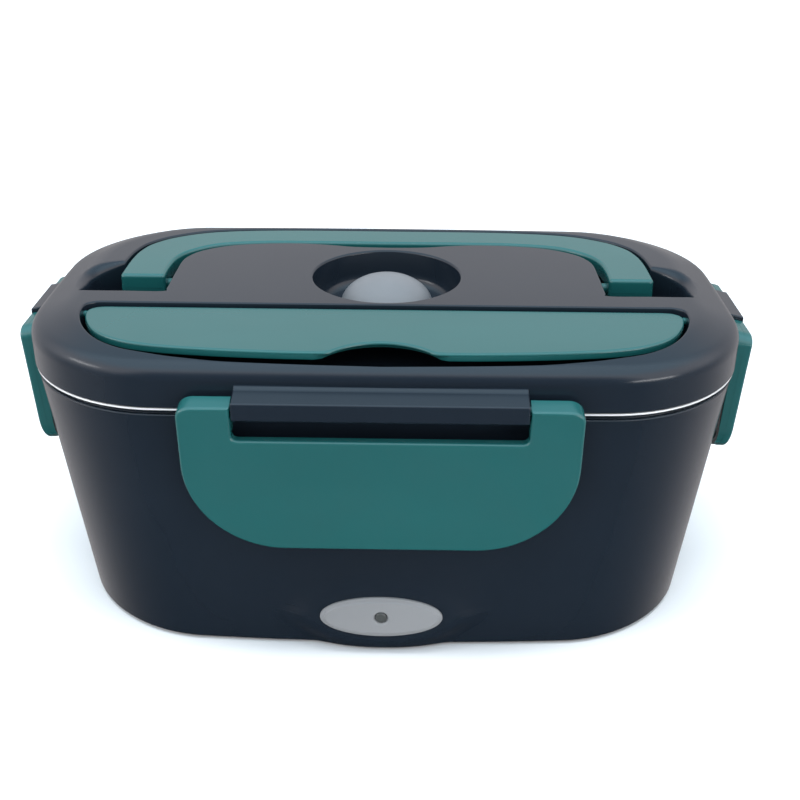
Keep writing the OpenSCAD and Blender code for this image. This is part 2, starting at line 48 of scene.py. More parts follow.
def quarter(a, b, r, sx, sy, ns, na, nt):
    aa, bb = a - sx, b - sy
    t = np.arange(ns) / ns
    side = np.c_[np.full(ns, aa), (bb - r) * t]
    g = np.radians(90.0 * np.arange(na + 1) / na)
    arc = np.c_[aa - r + r * np.cos(g), bb - r + r * np.sin(g)]
    t = np.arange(1, nt + 1) / nt
    top = np.c_[(aa - r) * (1 - t), np.full(nt, bb)]
    q = np.vstack([side, arc, top])
    return np.c_[
        q[:, 0] + sx * (1 - (q[:, 1] / bb) ** 2), q[:, 1] + sy * (1 - (q[:, 0] / aa) ** 2)
    ]


def ring(a, b, r, sx=0.0, sy=0.0, k=(8, 22, 26)):
    q = quarter(a, b, r, sx, sy, *k)
    return np.vstack([q, q[-2::-1] * [-1, 1], q[1:] * [-1, -1], q[-2:0:-1] * [1, -1]])


def lid_ring(i, k=(8, 22, 26)):
    return ring(LID_A - i, LID_B - i, LID_R - i, LID_SX, LID_SY, k)


def body_ring(z, i, k=(8, 22, 60)):
    t = z / BODY_H

    def m(u, v):
        return u + (v - u) * t

    return ring(
        m(103.85, 111.45) - i, m(57.9, 63.85) - i, m(42.1, 42.5) - i,
        m(2.57, LID_SX), m(5.7, LID_SY), k,
    )


def catmull(c, k=6, closed=False):
    c = np.asarray(c, float)
    n = len(c)
    out = []
    span = n if closed else n - 1
    for i in range(span):
        if closed:
            p = [c[(i - 1) % n], c[i], c[(i + 1) % n], c[(i + 2) % n]]
        else:
            p = [c[max(i - 1, 0)], c[i], c[i + 1], c[min(i + 2, n - 1)]]
        for j in range(k):
            t = j / k
            out.append(0.5 * (2 * p[1] + (p[2] - p[0]) * t
                              + (2 * p[0] - 5 * p[1] + 4 * p[2] - p[3]) * t * t
                              + (3 * p[1] - p[0] - 3 * p[2] + p[3]) * t ** 3))
    if not closed:
        out.append(c[-1])
    return np.array(out)


def both(half):
    return np.vstack([half, half[-2:0:-1] * [-1, 1]])


def edge_normals(p, closed=True):
    t = np.roll(p, -1, 0) - p
    t /= np.maximum(np.linalg.norm(t, axis=1, keepdims=True), 1e-9)
    return np.c_[t[:, 1], -t[:, 0]]


def vertex_normals(p):
    """Outward mitred normals of a closed anticlockwise outline."""
    n1 = edge_normals(p)
    n0 = np.roll(n1, 1, 0)
    d = 1 + (n0 * n1).sum(1)
    return (n0 + n1) / np.maximum(d, 0.55)[:, None]


def grow(p, g):
    g = np.asarray(g, float)
    return p + vertex_normals(p) * (g[:, None] if g.ndim else g)


def grow_open(p, g):
    t = np.vstack([p[1:2] - p[0:1], p[2:] - p[:-2], p[-1:] - p[-2:-1]])
    t /= np.linalg.norm(t, axis=1, keepdims=True)
    return p + g * np.c_[t[:, 1], -t[:, 0]]


def inside(pts, poly):
    x, y = pts[:, 0], pts[:, 1]
    hit = np.zeros(len(pts), bool)
    for (x1, y1), (x2, y2) in zip(poly, np.roll(poly, -1, 0)):
        if y1 == y2:
            continue
        c = (y1 > y) != (y2 > y)
        hit ^= c & (x < (x2 - x1) * (y - y1) / (y2 - y1) + x1)
    return hit


def circle(r, n=96, c=(0.0, 0.0), start=0.0):
    g = np.radians(start) + 2 * np.pi * np.arange(n) / n
    return np.c_[c[0] + r * np.cos(g), c[1] + r * np.sin(g)]


def ellipse(a, b, n=96):
    g = 2 * np.pi * np.arange(n) / n
    return np.c_[a * np.cos(g), b * np.sin(g)]


def rounded(points, radii, seg=6):
    """Closed polygon with each corner turned into an arc."""
    p = np.asarray(points, float)
    n = len(p)
    out = []
    for i in range(n):
        r = radii[i] if hasattr(radii, "__len__") else radii
        a, b, c = p[i - 1], p[i], p[(i + 1) % n]
        u = (a - b) / np.linalg.norm(a - b)
        w = (c - b) / np.linalg.norm(c - b)
        cosang = float(np.clip(np.dot(u, w), -0.9999, 0.9999))
        half = math.acos(cosang) / 2
        if r <= 0:
            out.append(b)
            continue
        d = min(r / math.tan(half), 0.49 * np.linalg.norm(a - b), 0.49 * np.linalg.norm(c - b))
        rr = d * math.tan(half)
        bis = (u + w) / np.linalg.norm(u + w)
        centre = b + bis * rr / math.sin(half)
        s, e = b + u * d - centre, b + w * d - centre
        a0 = math.atan2(s[1], s[0])
        da = (math.atan2(e[1], e[0]) - a0 + math.pi) % (2 * math.pi) - math.pi
        for k in range(seg + 1):
            g = a0 + da * k / seg
            out.append(centre + rr * np.array([math.cos(g), math.sin(g)]))
    return np.array(out)


def lift(p, z):
    return np.c_[p, np.full(len(p), z) if np.isscalar(z) else z]


def cdt(loops, keep, pts=None, segs=()):
    """Triangles that fill flat outlines; every outline edge stays an edge."""
    verts, edges = [], []
    for lp in loops:
        b = len(verts)
        verts += [Vector((float(x), float(y))) for x, y in lp]
        edges += [(b + i, b + (i + 1) % len(lp)) for i in range(len(lp))]
    if pts is not None:
        b = len(verts)
        verts += [Vector((float(x), float(y))) for x, y in pts]
        edges += [(b + i, b + j) for i, j in segs]
    v, _, f, _, _, _ = delaunay_2d_cdt(verts, edges, [], 0, 1e-6)
    p = np.array([(q.x, q.y) for q in v])
    t = np.array([list(q) for q in f], int)
    c = p[t].mean(1)
    t = t[keep(c)]
    a, b, c = p[t[:, 0]], p[t[:, 1]], p[t[:, 2]]
    area = (b[:, 0] - a[:, 0]) * (c[:, 1] - a[:, 1]) - (c[:, 0] - a[:, 0]) * (b[:, 1] - a[:, 1])
    t = t[np.abs(area) > 1e-9]
    area = area[np.abs(area) > 1e-9]
    t[area < 0] = t[area < 0][:, ::-1]
    return p, t


class Shape:
    def __init__(self):
        self.v, self.f, self.n = [], [], 0

    def put(self, pts):
        base = self.n
        pts = np.asarray(pts, float)
        self.v.append(pts)
        self.n += len(pts)
        return base

    def loft(self, rings, wrap=False):
        n = len(rings[0])
        base = [self.put(r) for r in rings]
        pairs = list(zip(base, base[1:])) + ([(base[-1], base[0])] if wrap else [])
        for a, b in pairs:
            for i in range(n):
                j = (i + 1) % n
                self.f.append((a + i, a + j, b + j, b + i))

    def fill(self, loops, z, up=True):
        """Flat face inside the first outline and outside the others."""

        def keep(c):
            k = inside(c, loops[0])
            for h in loops[1:]:
                k &= ~inside(c, h)
            return k

        p, t = cdt(loops, keep)
        b = self.put(lift(p, z))
        self.f += [tuple(b + q if up else b + q[::-1]) for q in t]

    def fan(self, pts, tip):
        b = self.put(pts)
        c = self.put([tip])
        n = len(pts)
        self.f += [(b + i, b + (i + 1) % n, c) for i in range(n)]

    def move(self, m, since=0):
        m = np.array(m)
        self.v = [v if k < since else v @ m[:3, :3].T + m[:3, 3] for k, v in enumerate(self.v)]
        return self

    def join(self, other, m=None):
        v = np.vstack(other.v)
        if m is not None:
            m = np.array(m)
            v = v @ m[:3, :3].T + m[:3, 3]
        b = self.put(v)
        self.f += [tuple(b + i for i in q) for q in other.f]
        return self


def plate(outline, z0, z1, top=0.8, bottom=0.5, seg=5, draft=0.0):
    """A slab with rounded edges."""
    s = Shape()
    rings = []
    for k in range(seg + 1):
        g = math.pi / 2 * k / seg
        rings.append(lift(grow(outline, -bottom * (1 - math.sin(g)) - draft), z0 + bottom * (1 - math.cos(g))))
    for k in range(seg + 1):
        g = math.pi / 2 * k / seg
        rings.append(lift(grow(outline, -top * (1 - math.cos(g))), z1 - top * (1 - math.sin(g))))
    s.loft(rings)
    s.fill([rings[0][:, :2]], z0, up=False)
    s.fill([rings[-1][:, :2]], z1)
    return s


def revolve(profile, n=64, c=(0.0, 0.0)):
    """Profile [(r, z)...] turned round Z; ends on the axis close it."""
    s = Shape()
    prof = [tuple(p) for p in profile]
    first = prof[0] if prof[0][0] < 1e-6 else None
    last = prof[-1] if prof[-1][0] < 1e-6 else None
    mid = [p for p in prof if p[0] >= 1e-6]
    rings = [lift(circle(r, n, c), z) for r, z in mid]
    s.loft(rings)
    if first:
        s.fan(rings[0][::-1], (c[0], c[1], first[1]))
    if last:
        s.fan(rings[-1], (c[0], c[1], last[1]))
    return s


def arc(cx, cz, r, a0, a1, n=6):
    return [(cx + r * math.cos(math.radians(a0 + (a1 - a0) * k / n)),
             cz + r * math.sin(math.radians(a0 + (a1 - a0) * k / n))) for k in range(n + 1)]


# ---------------------------------------------------------------- materials
def lin(c):
    return tuple(((v / 255) / 12.92 if v / 255 <= 0.04045 else ((v / 255 + 0.055) / 1.055) ** 2.4) for v in c)


def node_tree(name):
    m = bpy.data.materials.new(name)
    m.use_nodes = True
    nt = m.node_tree
    for n in list(nt.nodes):
        nt.nodes.remove(n)
    out = nt.nodes.new("ShaderNodeOutputMaterial")
    bs = nt.nodes.new("ShaderNodeBsdfPrincipled")
    nt.links.new(bs.outputs[0], out.inputs[0])
    co = nt.nodes.new("ShaderNodeTexCoord")
    return m, nt, bs, co


def mapped(nt, co, scale):
    mp = nt.nodes.new("ShaderNodeMapping")
    mp.inputs["Scale"].default_value = scale
    nt.links.new(co.outputs["Object"], mp.inputs["Vector"])
    return mp


def noise(nt, vec, scale, detail=3.0, rough=0.5):
    n = nt.nodes.new("ShaderNodeTexNoise")
    n.inputs["Scale"].default_value = scale
    n.inputs["Detail"].default_value = detail
    n.inputs["Roughness"].default_value = rough
    nt.links.new(vec, n.inputs["Vector"])
    return n


def ranged(nt, src, lo, hi, f0=0.3, f1=0.7):
    r = nt.nodes.new("ShaderNodeMapRange")
    r.inputs["From Min"].default_value = f0
    r.inputs["From Max"].default_value = f1
    r.inputs["To Min"].default_value = lo
    r.inputs["To Max"].default_value = hi
    nt.links.new(src, r.inputs["Value"])
    return r


def mixed(nt, fac, a, b):
    m = nt.nodes.new("ShaderNodeMix")
    m.data_type = "RGBA"
    for s, v in (("A", a), ("B", b)):
        k = [i for i in m.inputs if i.name == s and i.type == "RGBA"][0]
        if isinstance(v, (tuple, list)):
            k.default_value = (*v[:3], 1)
        else:
            nt.links.new(v, k)
    f = [i for i in m.inputs if i.name == "Factor" and i.type == "VALUE"][0]
    nt.links.new(fac, f)
    return [o for o in m.outputs if o.type == "RGBA"][0]


def plastic(name, base, rough=(0.28, 0.36), spec=0.5, tint=0.12, grain=0.01, grain_scale=700,
            wear=0.12, coat=0.0, sss=0.0):
    """Moulded plastic: cloudy pigment with faint flow streaks, fine moulded grain and uneven gloss."""
    m, nt, bs, co = node_tree(name)
    big = noise(nt, co.outputs["Object"], 14, 4, 0.55)
    dark = tuple(c * (1 - tint) for c in base)
    pale = tuple(min(1, c * (1 + tint) + 0.002 * tint) for c in base)
    col = mixed(nt, ranged(nt, big.outputs["Fac"], 0, 1).outputs[0], dark, pale)
    streak = noise(nt, mapped(nt, co, (9, 30, 30)).outputs[0], 1.0, 3, 0.5)
    col = mixed(nt, ranged(nt, streak.outputs["Fac"], 0, wear, 0.45, 0.75).outputs[0], col,
                tuple(min(1, c * 1.15 + 0.001) for c in base))
    nt.links.new(col, bs.inputs["Base Color"])
    mid = noise(nt, co.outputs["Object"], 60, 5, 0.6)
    nt.links.new(ranged(nt, mid.outputs["Fac"], rough[0], rough[1]).outputs[0], bs.inputs["Roughness"])
    fine = noise(nt, co.outputs["Object"], grain_scale, 2, 0.5)
    bump = nt.nodes.new("ShaderNodeBump")
    bump.inputs["Strength"].default_value = grain
    bump.inputs["Distance"].default_value = 0.0001
    nt.links.new(fine.outputs["Fac"], bump.inputs["Height"])
    nt.links.new(bump.outputs[0], bs.inputs["Normal"])
    bs.inputs["Specular IOR Level"].default_value = spec
    bs.inputs["Coat Weight"].default_value = coat
    bs.inputs["Coat Roughness"].default_value = 0.12
    if sss:
        bs.inputs["Subsurface Weight"].default_value = sss
        bs.inputs["Subsurface Radius"].default_value = (0.002, 0.002, 0.0022)
        bs.inputs["Subsurface Scale"].default_value = 1.0
    return m


def steel(name, base=(0.72, 0.71, 0.70), rough=(0.16, 0.26), stretch=(6, 6, 600), metal=1.0, bump_s=0.03, rim=None):
    """Drawn sheet steel with fine turning marks and faint smudges; given rim, the faces above rim[0] get a painted
    highlight.
    """
    m, nt, bs, co = node_tree(name)
    mp = mapped(nt, co, stretch)
    lines = noise(nt, mp.outputs[0], 1.0, 4, 0.6)
    smudge = noise(nt, co.outputs["Object"], 22, 3, 0.5)
    col = mixed(nt, ranged(nt, lines.outputs["Fac"], 0, 1).outputs[0], tuple(c * 0.9 for c in base), base)
    if rim:
        # painted highlight: above rim[0] the rolled edge gets a near-white colour and a lower metallic value that stand
        # in for the bright light it catches
        xyz = nt.nodes.new("ShaderNodeSeparateXYZ")
        nt.links.new(co.outputs["Object"], xyz.inputs[0])
        at = ranged(nt, xyz.outputs["Z"], 0.0, 1.0, rim[0] - 0.0001, rim[0] + 0.0001).outputs[0]
        col = mixed(nt, at, col, rim[1])
    nt.links.new(col, bs.inputs["Base Color"])
    add = nt.nodes.new("ShaderNodeMath")
    add.operation = "ADD"
    nt.links.new(ranged(nt, lines.outputs["Fac"], rough[0], rough[1]).outputs[0], add.inputs[0])
    nt.links.new(ranged(nt, smudge.outputs["Fac"], -0.02, 0.05).outputs[0], add.inputs[1])
    nt.links.new(add.outputs[0], bs.inputs["Roughness"])
    bump = nt.nodes.new("ShaderNodeBump")
    bump.inputs["Strength"].default_value = bump_s
    bump.inputs["Distance"].default_value = 0.0002
    nt.links.new(lines.outputs["Fac"], bump.inputs["Height"])
    nt.links.new(bump.outputs[0], bs.inputs["Normal"])
    bs.inputs["Metallic"].default_value = metal
    if rim:
        # the painted highlight on the rim also swaps the metallic value for rim[2]
        nt.links.new(ranged(nt, at, metal, rim[2], 0.0, 1.0).outputs[0], bs.inputs["Metallic"])
    return m


NAVY = plastic("navy_plastic_mat", (0.0105, 0.0165, 0.0250), rough=(0.17, 0.21), tint=0.06, wear=0.3, grain=0.003)
TEAL = plastic("teal_plastic_mat", (0.0100, 0.0960, 0.0950), spec=0.78, rough=(0.22, 0.27), tint=0.04, wear=0.3, grain=0.006)
BLACK = plastic("inlet_plastic_mat", (0.012, 0.012, 0.013), rough=(0.45, 0.6), grain=0.08, grain_scale=1600)
RUBBER = plastic("rubber_mat", (0.02, 0.02, 0.021), rough=(0.65, 0.85), grain=0.15, grain_scale=1200, spec=0.3)
GREY = plastic("grey_plastic_mat", (0.245, 0.245, 0.250), rough=(0.25, 0.35), tint=0.05, wear=0.35)
PANEL = plastic("panel_plastic_mat", lin((196, 198, 201)), rough=(0.35, 0.45), tint=0.03, wear=0.1)
SILICONE = plastic("silicone_mat", lin((205, 207, 212)), rough=(0.45, 0.6), tint=0.04, wear=0.05, sss=0.25)
PLUG = plastic("plug_silicone_mat", (0.180, 0.188, 0.200), rough=(0.38, 0.5), tint=0.05, wear=0.1, sss=0.15)
LENS = plastic("lens_mat", (0.060, 0.063, 0.061), rough=(0.12, 0.22), tint=0.3, wear=0.3, coat=0.5)
# the pan's rolled rim above z 88.2 mm carries a painted highlight: near-white colour, metallic 0.3
STEEL = steel("container_steel_mat", (0.74, 0.74, 0.735), (0.24, 0.31), stretch=(5, 5, 900), metal=0.85, bump_s=0.006,
              rim=(0.0882, (0.98, 0.97, 0.96), 0.3))
SCREW = steel("screw_steel_mat", (0.55, 0.55, 0.54), (0.25, 0.4), (80, 80, 80))
ALU = steel("tray_aluminium_mat", (0.78, 0.78, 0.79), (0.3, 0.45), (300, 12, 40))
BRASS = steel("pin_metal_mat", (0.75, 0.68, 0.5), (0.2, 0.3), (60, 60, 60))
CASE = steel("heater_case_mat", (0.70, 0.68, 0.63), (0.4, 0.55), (60, 200, 60))
CUTOUT = plastic("cutout_plastic_mat", (0.03, 0.02, 0.015), rough=(0.4, 0.5), grain=0.1)
BOARD = plastic("board_mat", (0.01, 0.09, 0.035), rough=(0.3, 0.45), tint=0.3, grain=0.1)
LED = plastic("led_mat", (0.5, 0.03, 0.02), rough=(0.1, 0.2), tint=0.2, coat=0.4)
WIRES = {
    "wire_live": plastic("wire_brown_mat", (0.10, 0.04, 0.015), rough=(0.4, 0.5)),
    "wire_link": plastic("wire_red_mat", (0.35, 0.02, 0.015), rough=(0.4, 0.5)),
    "wire_neutral": plastic("wire_blue_mat", (0.02, 0.05, 0.3), rough=(0.4, 0.5)),
    "wire_indicator": plastic("wire_white_mat", (0.6, 0.6, 0.58), rough=(0.4, 0.5)),
}


def dress(node, mat):
    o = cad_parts[node]
    o.data.materials.clear()
    o.data.materials.append(mat)


for n, m in {"tray_screws": SCREW, "heater_element": CASE, "heater_strap": SCREW, "strap_screws": SCREW,
             "thermal_cutout": CUTOUT, "indicator_board": BOARD, "indicator_led": LED, **WIRES}.items():
    dress(n, m)


def build(name, shape, mat, body, nodes, sharp=38, closed=True, weld=3e-6):
    v = np.vstack(shape.v) * 0.001
    me = bpy.data.meshes.new(name)
    me.from_pydata(v.tolist(), [], [tuple(int(i) for i in q) for q in shape.f])
    bm = bmesh.new()
    bm.from_mesh(me)
    bmesh.ops.remove_doubles(bm, verts=bm.verts, dist=weld)
    bmesh.ops.dissolve_degenerate(bm, dist=1e-6, edges=bm.edges)
    loose = [x for x in bm.verts if not x.link_faces]
    bmesh.ops.delete(bm, geom=loose, context="VERTS")
    if closed:
        bmesh.ops.recalc_face_normals(bm, faces=bm.faces)
    bm.to_mesh(me)
    openings = sum(1 for e in bm.edges if len(e.link_faces) != 2)
    bm.free()
    me.polygons.foreach_set("use_smooth", [True] * len(me.polygons))
    me.set_sharp_from_angle(angle=math.radians(sharp))
    me.materials.append(mat)
    o = bpy.data.objects.new(name, me)
    bpy.context.scene.collection.objects.link(o)
    w = o.modifiers.new("flat_faces_first", "WEIGHTED_NORMAL")
    w.keep_sharp = True
    w.weight = 60
    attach(o, body)
    if nodes:
        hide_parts(*nodes)
    print("piece", name, len(me.vertices), "verts", "open edges", openings)
    return o


def apply_boolean(o, cutter, op="DIFFERENCE"):
    """Cuts or joins another mesh into o for good."""
    c = bpy.data.objects.new("cutter", cutter)
    bpy.context.scene.collection.objects.link(c)
    b = o.modifiers.new("cut", "BOOLEAN")
    b.operation = op
    b.object = c
    b.solver = "EXACT"
    o.modifiers.move(len(o.modifiers) - 1, 0)
    dg = bpy.context.evaluated_depsgraph_get()
    keep = [m for m in o.modifiers if m.name != "cut"]
    for m in keep:
        m.show_viewport = False
    dg.update()
    me = bpy.data.meshes.new_from_object(o.evaluated_get(dg))
    o.modifiers.remove(b)
    for m in keep:
        m.show_viewport = True
    old = o.data
    o.data = me
    me.name = old.name + "_cut"
    bpy.data.objects.remove(c)


def mesh_of(shape):
    me = bpy.data.meshes.new("cutter")
    me.from_pydata((np.vstack(shape.v) * 0.001).tolist(), [], [tuple(int(i) for i in q) for q in shape.f])
    bm = bmesh.new()
    bm.from_mesh(me)
    bmesh.ops.remove_doubles(bm, verts=bm.verts, dist=2e-6)
    bmesh.ops.recalc_face_normals(bm, faces=bm.faces)
    bm.to_mesh(me)
    bm.free()
    return me


def step(t):
    t = np.clip(t, 0, 1)
    return t * t * (3 - 2 * t)


# ---------------------------------------------------------------- body
def swell(p):
    """Pushes the outer wall out round the indicator and flattens the seat of the inlet."""
    x, y, z = p[:, 0], p[:, 1], p[:, 2]
    q = p.copy()
    inner = np.sqrt((x / 21.0) ** 2 + ((z - 15.2) / 9.4) ** 2)
    low = z < 15.2
    wide = 26.0 + 10.0 * step((z - 2.2) / 13.0)
    outer = np.where(low, (np.abs(x / wide) ** 2.5 + np.abs((z - 15.2) / 24.0) ** 2.5) ** 0.4,
                     (np.abs(x / wide) ** 2.2 + np.abs((z - 15.2) / 27.0) ** 2.2) ** (1 / 2.2))
    t = np.where(inner <= 1, 1.0, (1 - outer) / np.maximum((1 - outer) + np.where(low, 0.6, 0.9) * (inner - 1), 1e-6))
    w = np.where((y < 0) & (outer < 1), step(t), 0.0)
    q[:, 1] = np.where(y < 0, y + w * (-62.4 - y), y)
    e = np.maximum(np.abs(x) - 13.5, np.abs(z - 13.5) - 8.2)
    w = np.where(y > 0, step(1 - e / 1.6), 0.0)
    q[:, 1] = np.where(y > 0, q[:, 1] + w * np.maximum(59.2 - q[:, 1], 0), q[:, 1])
    return q


def body_shape():
    K = (8, 22, 60)
    rings = []
    for k in range(9):
        g = math.radians(90 * k / 8)
        rings.append(swell(lift(body_ring(0.9 + 1.3 * (1 - math.cos(g)), 1.0 * (1 - math.sin(g)), K),
                                0.9 + 1.3 * (1 - math.cos(g)))))
    for z in list(np.arange(3.0, 44.1, 1.0)) + [47, 54, 61, 68, 74, 80, 84, 86.2]:
        rings.append(swell(lift(body_ring(z, 0, K), z)))
    for k in range(1, 5):
        g = math.radians(90 * k / 4)
        rings.append(lift(body_ring(87.3, 0.6 * (1 - math.cos(g)), K), 86.2 + 0.6 * math.sin(g)))
    for i, z in ((1.1, 86.8), (1.3, 87.0), (1.3, 88.15), (1.38, 88.33), (1.55, 88.4), (2.1, 88.4), (2.3, 88.33), (2.4, 88.1)):
        rings.append(lift(body_ring(z, i, K), z))
    for z in (80, 60, 40, 29):
        rings.append(lift(body_ring(z, 2.4, K), z))
    for k in range(1, 6):
        g = math.radians(90 * k / 5)
        rings.append(lift(body_ring(28, 2.4 + 4.5 * (1 - math.cos(g)), K), 28.5 - 4.5 * math.sin(g)))
    for i, z in ((0, 24.0), (-0.5, 23.7), (-0.6, 22.0)):
        rings.append(lift(ring(60.0 + i, 32.0 + i, 21.0 + i, 0, 0, K), z))
    rings += [lift(body_ring(22, 2.4, K), 22), lift(body_ring(5, 2.4, K), 5), lift(body_ring(0.9, 4.6, K), 0.9)]
    s = Shape()
    s.loft(rings, wrap=True)
    return s


def prism(profile, h, end=0.35, seg=4):
    """Profile [(y, z)...] drawn along X with softened ends."""
    s = Shape()
    rings = []
    for k in range(seg + 1):
        g = math.radians(90 * k / seg)
        p = grow(profile, -end * (1 - math.sin(g)))
        rings.append(np.c_[np.full(len(p), -h + end * (1 - math.cos(g))), p])
    back = [np.c_[-r[:, 0], r[:, 1:]] for r in rings[::-1]]
    rings += back
    s.loft(rings)
    t = Shape()
    for r, up in ((rings[0], False), (rings[-1], True)):
        t.fill([r[:, 1:]], 0.0, up)
        v = t.v[-1]
        t.v[-1] = np.c_[np.full(len(v), r[0, 0]), v[:, :2]]
    return s.join(t)


def rot_z(deg, at=(0, 0, 0)):
    return Matrix.Translation(at) @ Matrix.Rotation(math.radians(deg), 4, "Z")


SIDES = {"front": (rot_z(0, (0, -LID_B, 0)), 42.2), "back": (rot_z(180, (0, LID_B, 0)), 42.2),
         "right": (rot_z(90, (LID_A, 8.7, 0)), 11.6), "left": (rot_z(-90, (-LID_A, 8.7, 0)), 11.6)}

body = body_shape()
rib = rounded([(2.4, 0), (2.4, 4.2), (-0.7, 2.7), (-2.3, 1.2), (-2.3, 0.0)][::-1], [0, 0, 0.4, 0.3, 0.0][::-1], 3)
for x, y, a, h in ((0, -63.2, 0, 22), (0, 63.2, 180, 22), (110.5, 8.7, 90, 8.5), (-110.5, 8.7, -90, 8.5)):
    body.join(prism(rib, h, 0.3), rot_z(a, (x, y, 76)))
o_body = build("body_moulding", body, NAVY, "body", ["body_shell"], sharp=50)
hole = plate(rounded([(-9.7, -5.1), (9.7, -5.1), (9.7, 5.1), (-9.7, 5.1)], 1.0), 0, 14, 0.01, 0.01, 1)
hole.move(Matrix.Translation((0, 64, 13.5)) @ Matrix.Rotation(math.radians(90), 4, "X"))
apply_boolean(o_body, mesh_of(hole))


# ---------------------------------------------------------------- underside
POSTS = [(82, 38), (-82, 38), (-82, -38), (82, -38)]
base = Shape()
rim = body_ring(1, 5.4, (8, 22, 26))
base.fill([grow(rim, -0.25)], 1.0, up=False)
base.loft([lift(grow(rim, -0.25), 1.0), lift(grow(rim, -0.05), 1.1), lift(rim, 1.35), lift(rim, 3.0)])
base.fill([rim], 3.0)
o_base = build("base_cover", base, NAVY, "body", ["base_plate"])
sinks = Shape()
for p in POSTS:
    sinks.join(revolve([(0, 0.5), (3.3, 0.5), (3.3, 0.95), (3.0, 1.25), (3.0, 2.0), (1.6, 2.0), (1.6, 3.5), (0, 3.5)], 40, p))
apply_boolean(o_base, mesh_of(sinks))

feet = Shape()
for x in (-68, 68):
    for y in (-30, 30):
        prof = [(0, 0.25), (1.8, 0.25), (2.1, 0.02), (2.6, 0.0), (4.6, 0.0)] + arc(4.9, 0.9, 0.9, -90, 0, 5)[1:] \
            + [(5.95, 1.25), (5.95, 1.7), (0, 1.7)]
        feet.join(revolve(prof, 48, (x, y)))
build("foot_pads", feet, RUBBER, "body", ["rubber_feet"])


def screw_shape(r, h, shank_r, shank_l):
    """Pan head with a cross recess, head down, shank up."""
    s = Shape()
    w, l, d = 0.32, r * 0.62, 0.55
    cross = np.array([(l, -w), (l, w), (w, w), (w, l), (-w, l), (-w, w), (-l, w), (-l, -w), (-w, -w), (-w, -l),
                      (w, -l), (w, -w)], float)
    o = circle(r - 0.35, 40)
    s.fill([o, cross], 0.0, up=False)
    s.loft([lift(cross, 0.0), lift(cross * 0.8, d)])
    s.fill([cross * 0.8], d, up=False)
    rings = [(r - 0.35, 0.0), (r - 0.12, 0.08), (r - 0.02, 0.24), (r, 0.45), (r, h), (shank_r, h),
             (shank_r, h + shank_l - 0.4), (shank_r - 0.4, h + shank_l)]
    s.loft([lift(circle(a, 40), z) for a, z in rings])
    s.fan(lift(circle(shank_r - 0.4, 40), h + shank_l), (0, 0, h + shank_l))
    return s


def screws(name, at, z, dims, body_name, nodes):
    s = Shape()
    for k, (x, y) in enumerate(at):
        s.join(screw_shape(*dims), Matrix.Translation((x, y, z)) @ Matrix.Rotation(0.5 + 0.9 * k, 4, "Z"))
    return build(name, s, SCREW, body_name, nodes)


screws("base_fixings", POSTS, 1.1, (2.7, 0.9, 1.25, 11), "body", ["base_screws"])

tray = Shape()
T = (4, 14, 14)
top_rings = [lift(ring(57.2, 29.2, 18.2, 0, 0, T), 17.2), lift(ring(57.2, 29.2, 18.2, 0, 0, T), 23.1)]
tr = []
for k in range(7):
    g = math.radians(90 * k / 6)
    tr.append(lift(ring(59 - 1.6 * (1 - math.cos(g)), 31 - 1.6 * (1 - math.cos(g)), 20 - 1.6 * (1 - math.cos(g)), 0, 0, T),
                   23.5 + 1.6 * math.sin(g)))
press = [lift(ring(a, a - 28, a - 39, 0, 0, T), z) for a, z in ((52, 25.1), (51.2, 25.0), (50.6, 24.75), (50, 24.7))]
outer = [lift(ring(64, 35, 22, 0, 0, T), 17.2), lift(ring(64, 35, 22, 0, 0, T), 18.6),
         lift(ring(63.7, 34.7, 21.7, 0, 0, T), 18.9), lift(ring(59.6, 31.6, 20.6, 0, 0, T), 18.9),
         lift(ring(59.1, 31.1, 20.1, 0, 0, T), 19.4)]
tray.loft(top_rings[::-1] + outer + tr + press)
tray.fill([top_rings[1][:, :2]], 23.1, up=False)
tray.fill([press[-1][:, :2]], 24.7)
build("heating_plate", tray, ALU, "body", ["heating_tray"])

# ---------------------------------------------------------------- inlet at the back
g8 = math.degrees(math.asin(3.1 / 3.8))
eight = np.array(arc(4.3, 0, 3.8, -(180 - g8), 180 - g8, 26) + arc(-4.3, 0, 3.8, g8, 360 - g8, 26))
fl = rounded([(-12.6, -7.4), (12.6, -7.4), (12.6, 7.4), (-12.6, 7.4)], 3.0, 8)
hs = rounded([(-9.9, -5.3), (9.9, -5.3), (9.9, 5.3), (-9.9, 5.3)], 1.0, 8)
inlet = Shape()
fr = [lift(grow(fl, -0.6 * (1 - math.cos(math.radians(a)))), 0.95 + 0.6 * math.sin(math.radians(a))) for a in (0, 25, 50, 70, 90)]
inlet.loft([lift(hs, -16.25), lift(hs, 0.0), lift(fl, 0.0)] + fr)
inlet.fill([hs], -16.25, up=False)
inlet.fill([fr[-1][:, :2], grow(eight, 0.35)], 1.55)
inlet.loft([lift(grow(eight, 0.35), 1.55), lift(grow(eight, 0.1), 1.45), lift(eight, 1.2), lift(eight, -11.65)])
inlet.fill([eight], -11.65)
inlet.move(Matrix.Translation((0, 59.25, 13.5)) @ Matrix(((-1, 0, 0, 0), (0, 0, 1, 0), (0, 1, 0, 0), (0, 0, 0, 1))))
build("inlet_socket", inlet, BLACK, "body", ["power_inlet"])
pins = Shape()
for sx in (-1, 1):
    p = revolve([(0, 0), (1.2, 0), (1.2, 16.4), (1.12, 16.9), (0.9, 17.35), (0.5, 17.75), (0, 17.95)], 32)
    pins.join(p, Matrix.Translation((sx * 4.3, 40, 13.5)) @ Matrix.Rotation(math.radians(-90), 4, "X"))
build("inlet_contacts", pins, BRASS, "body", ["inlet_pins"])

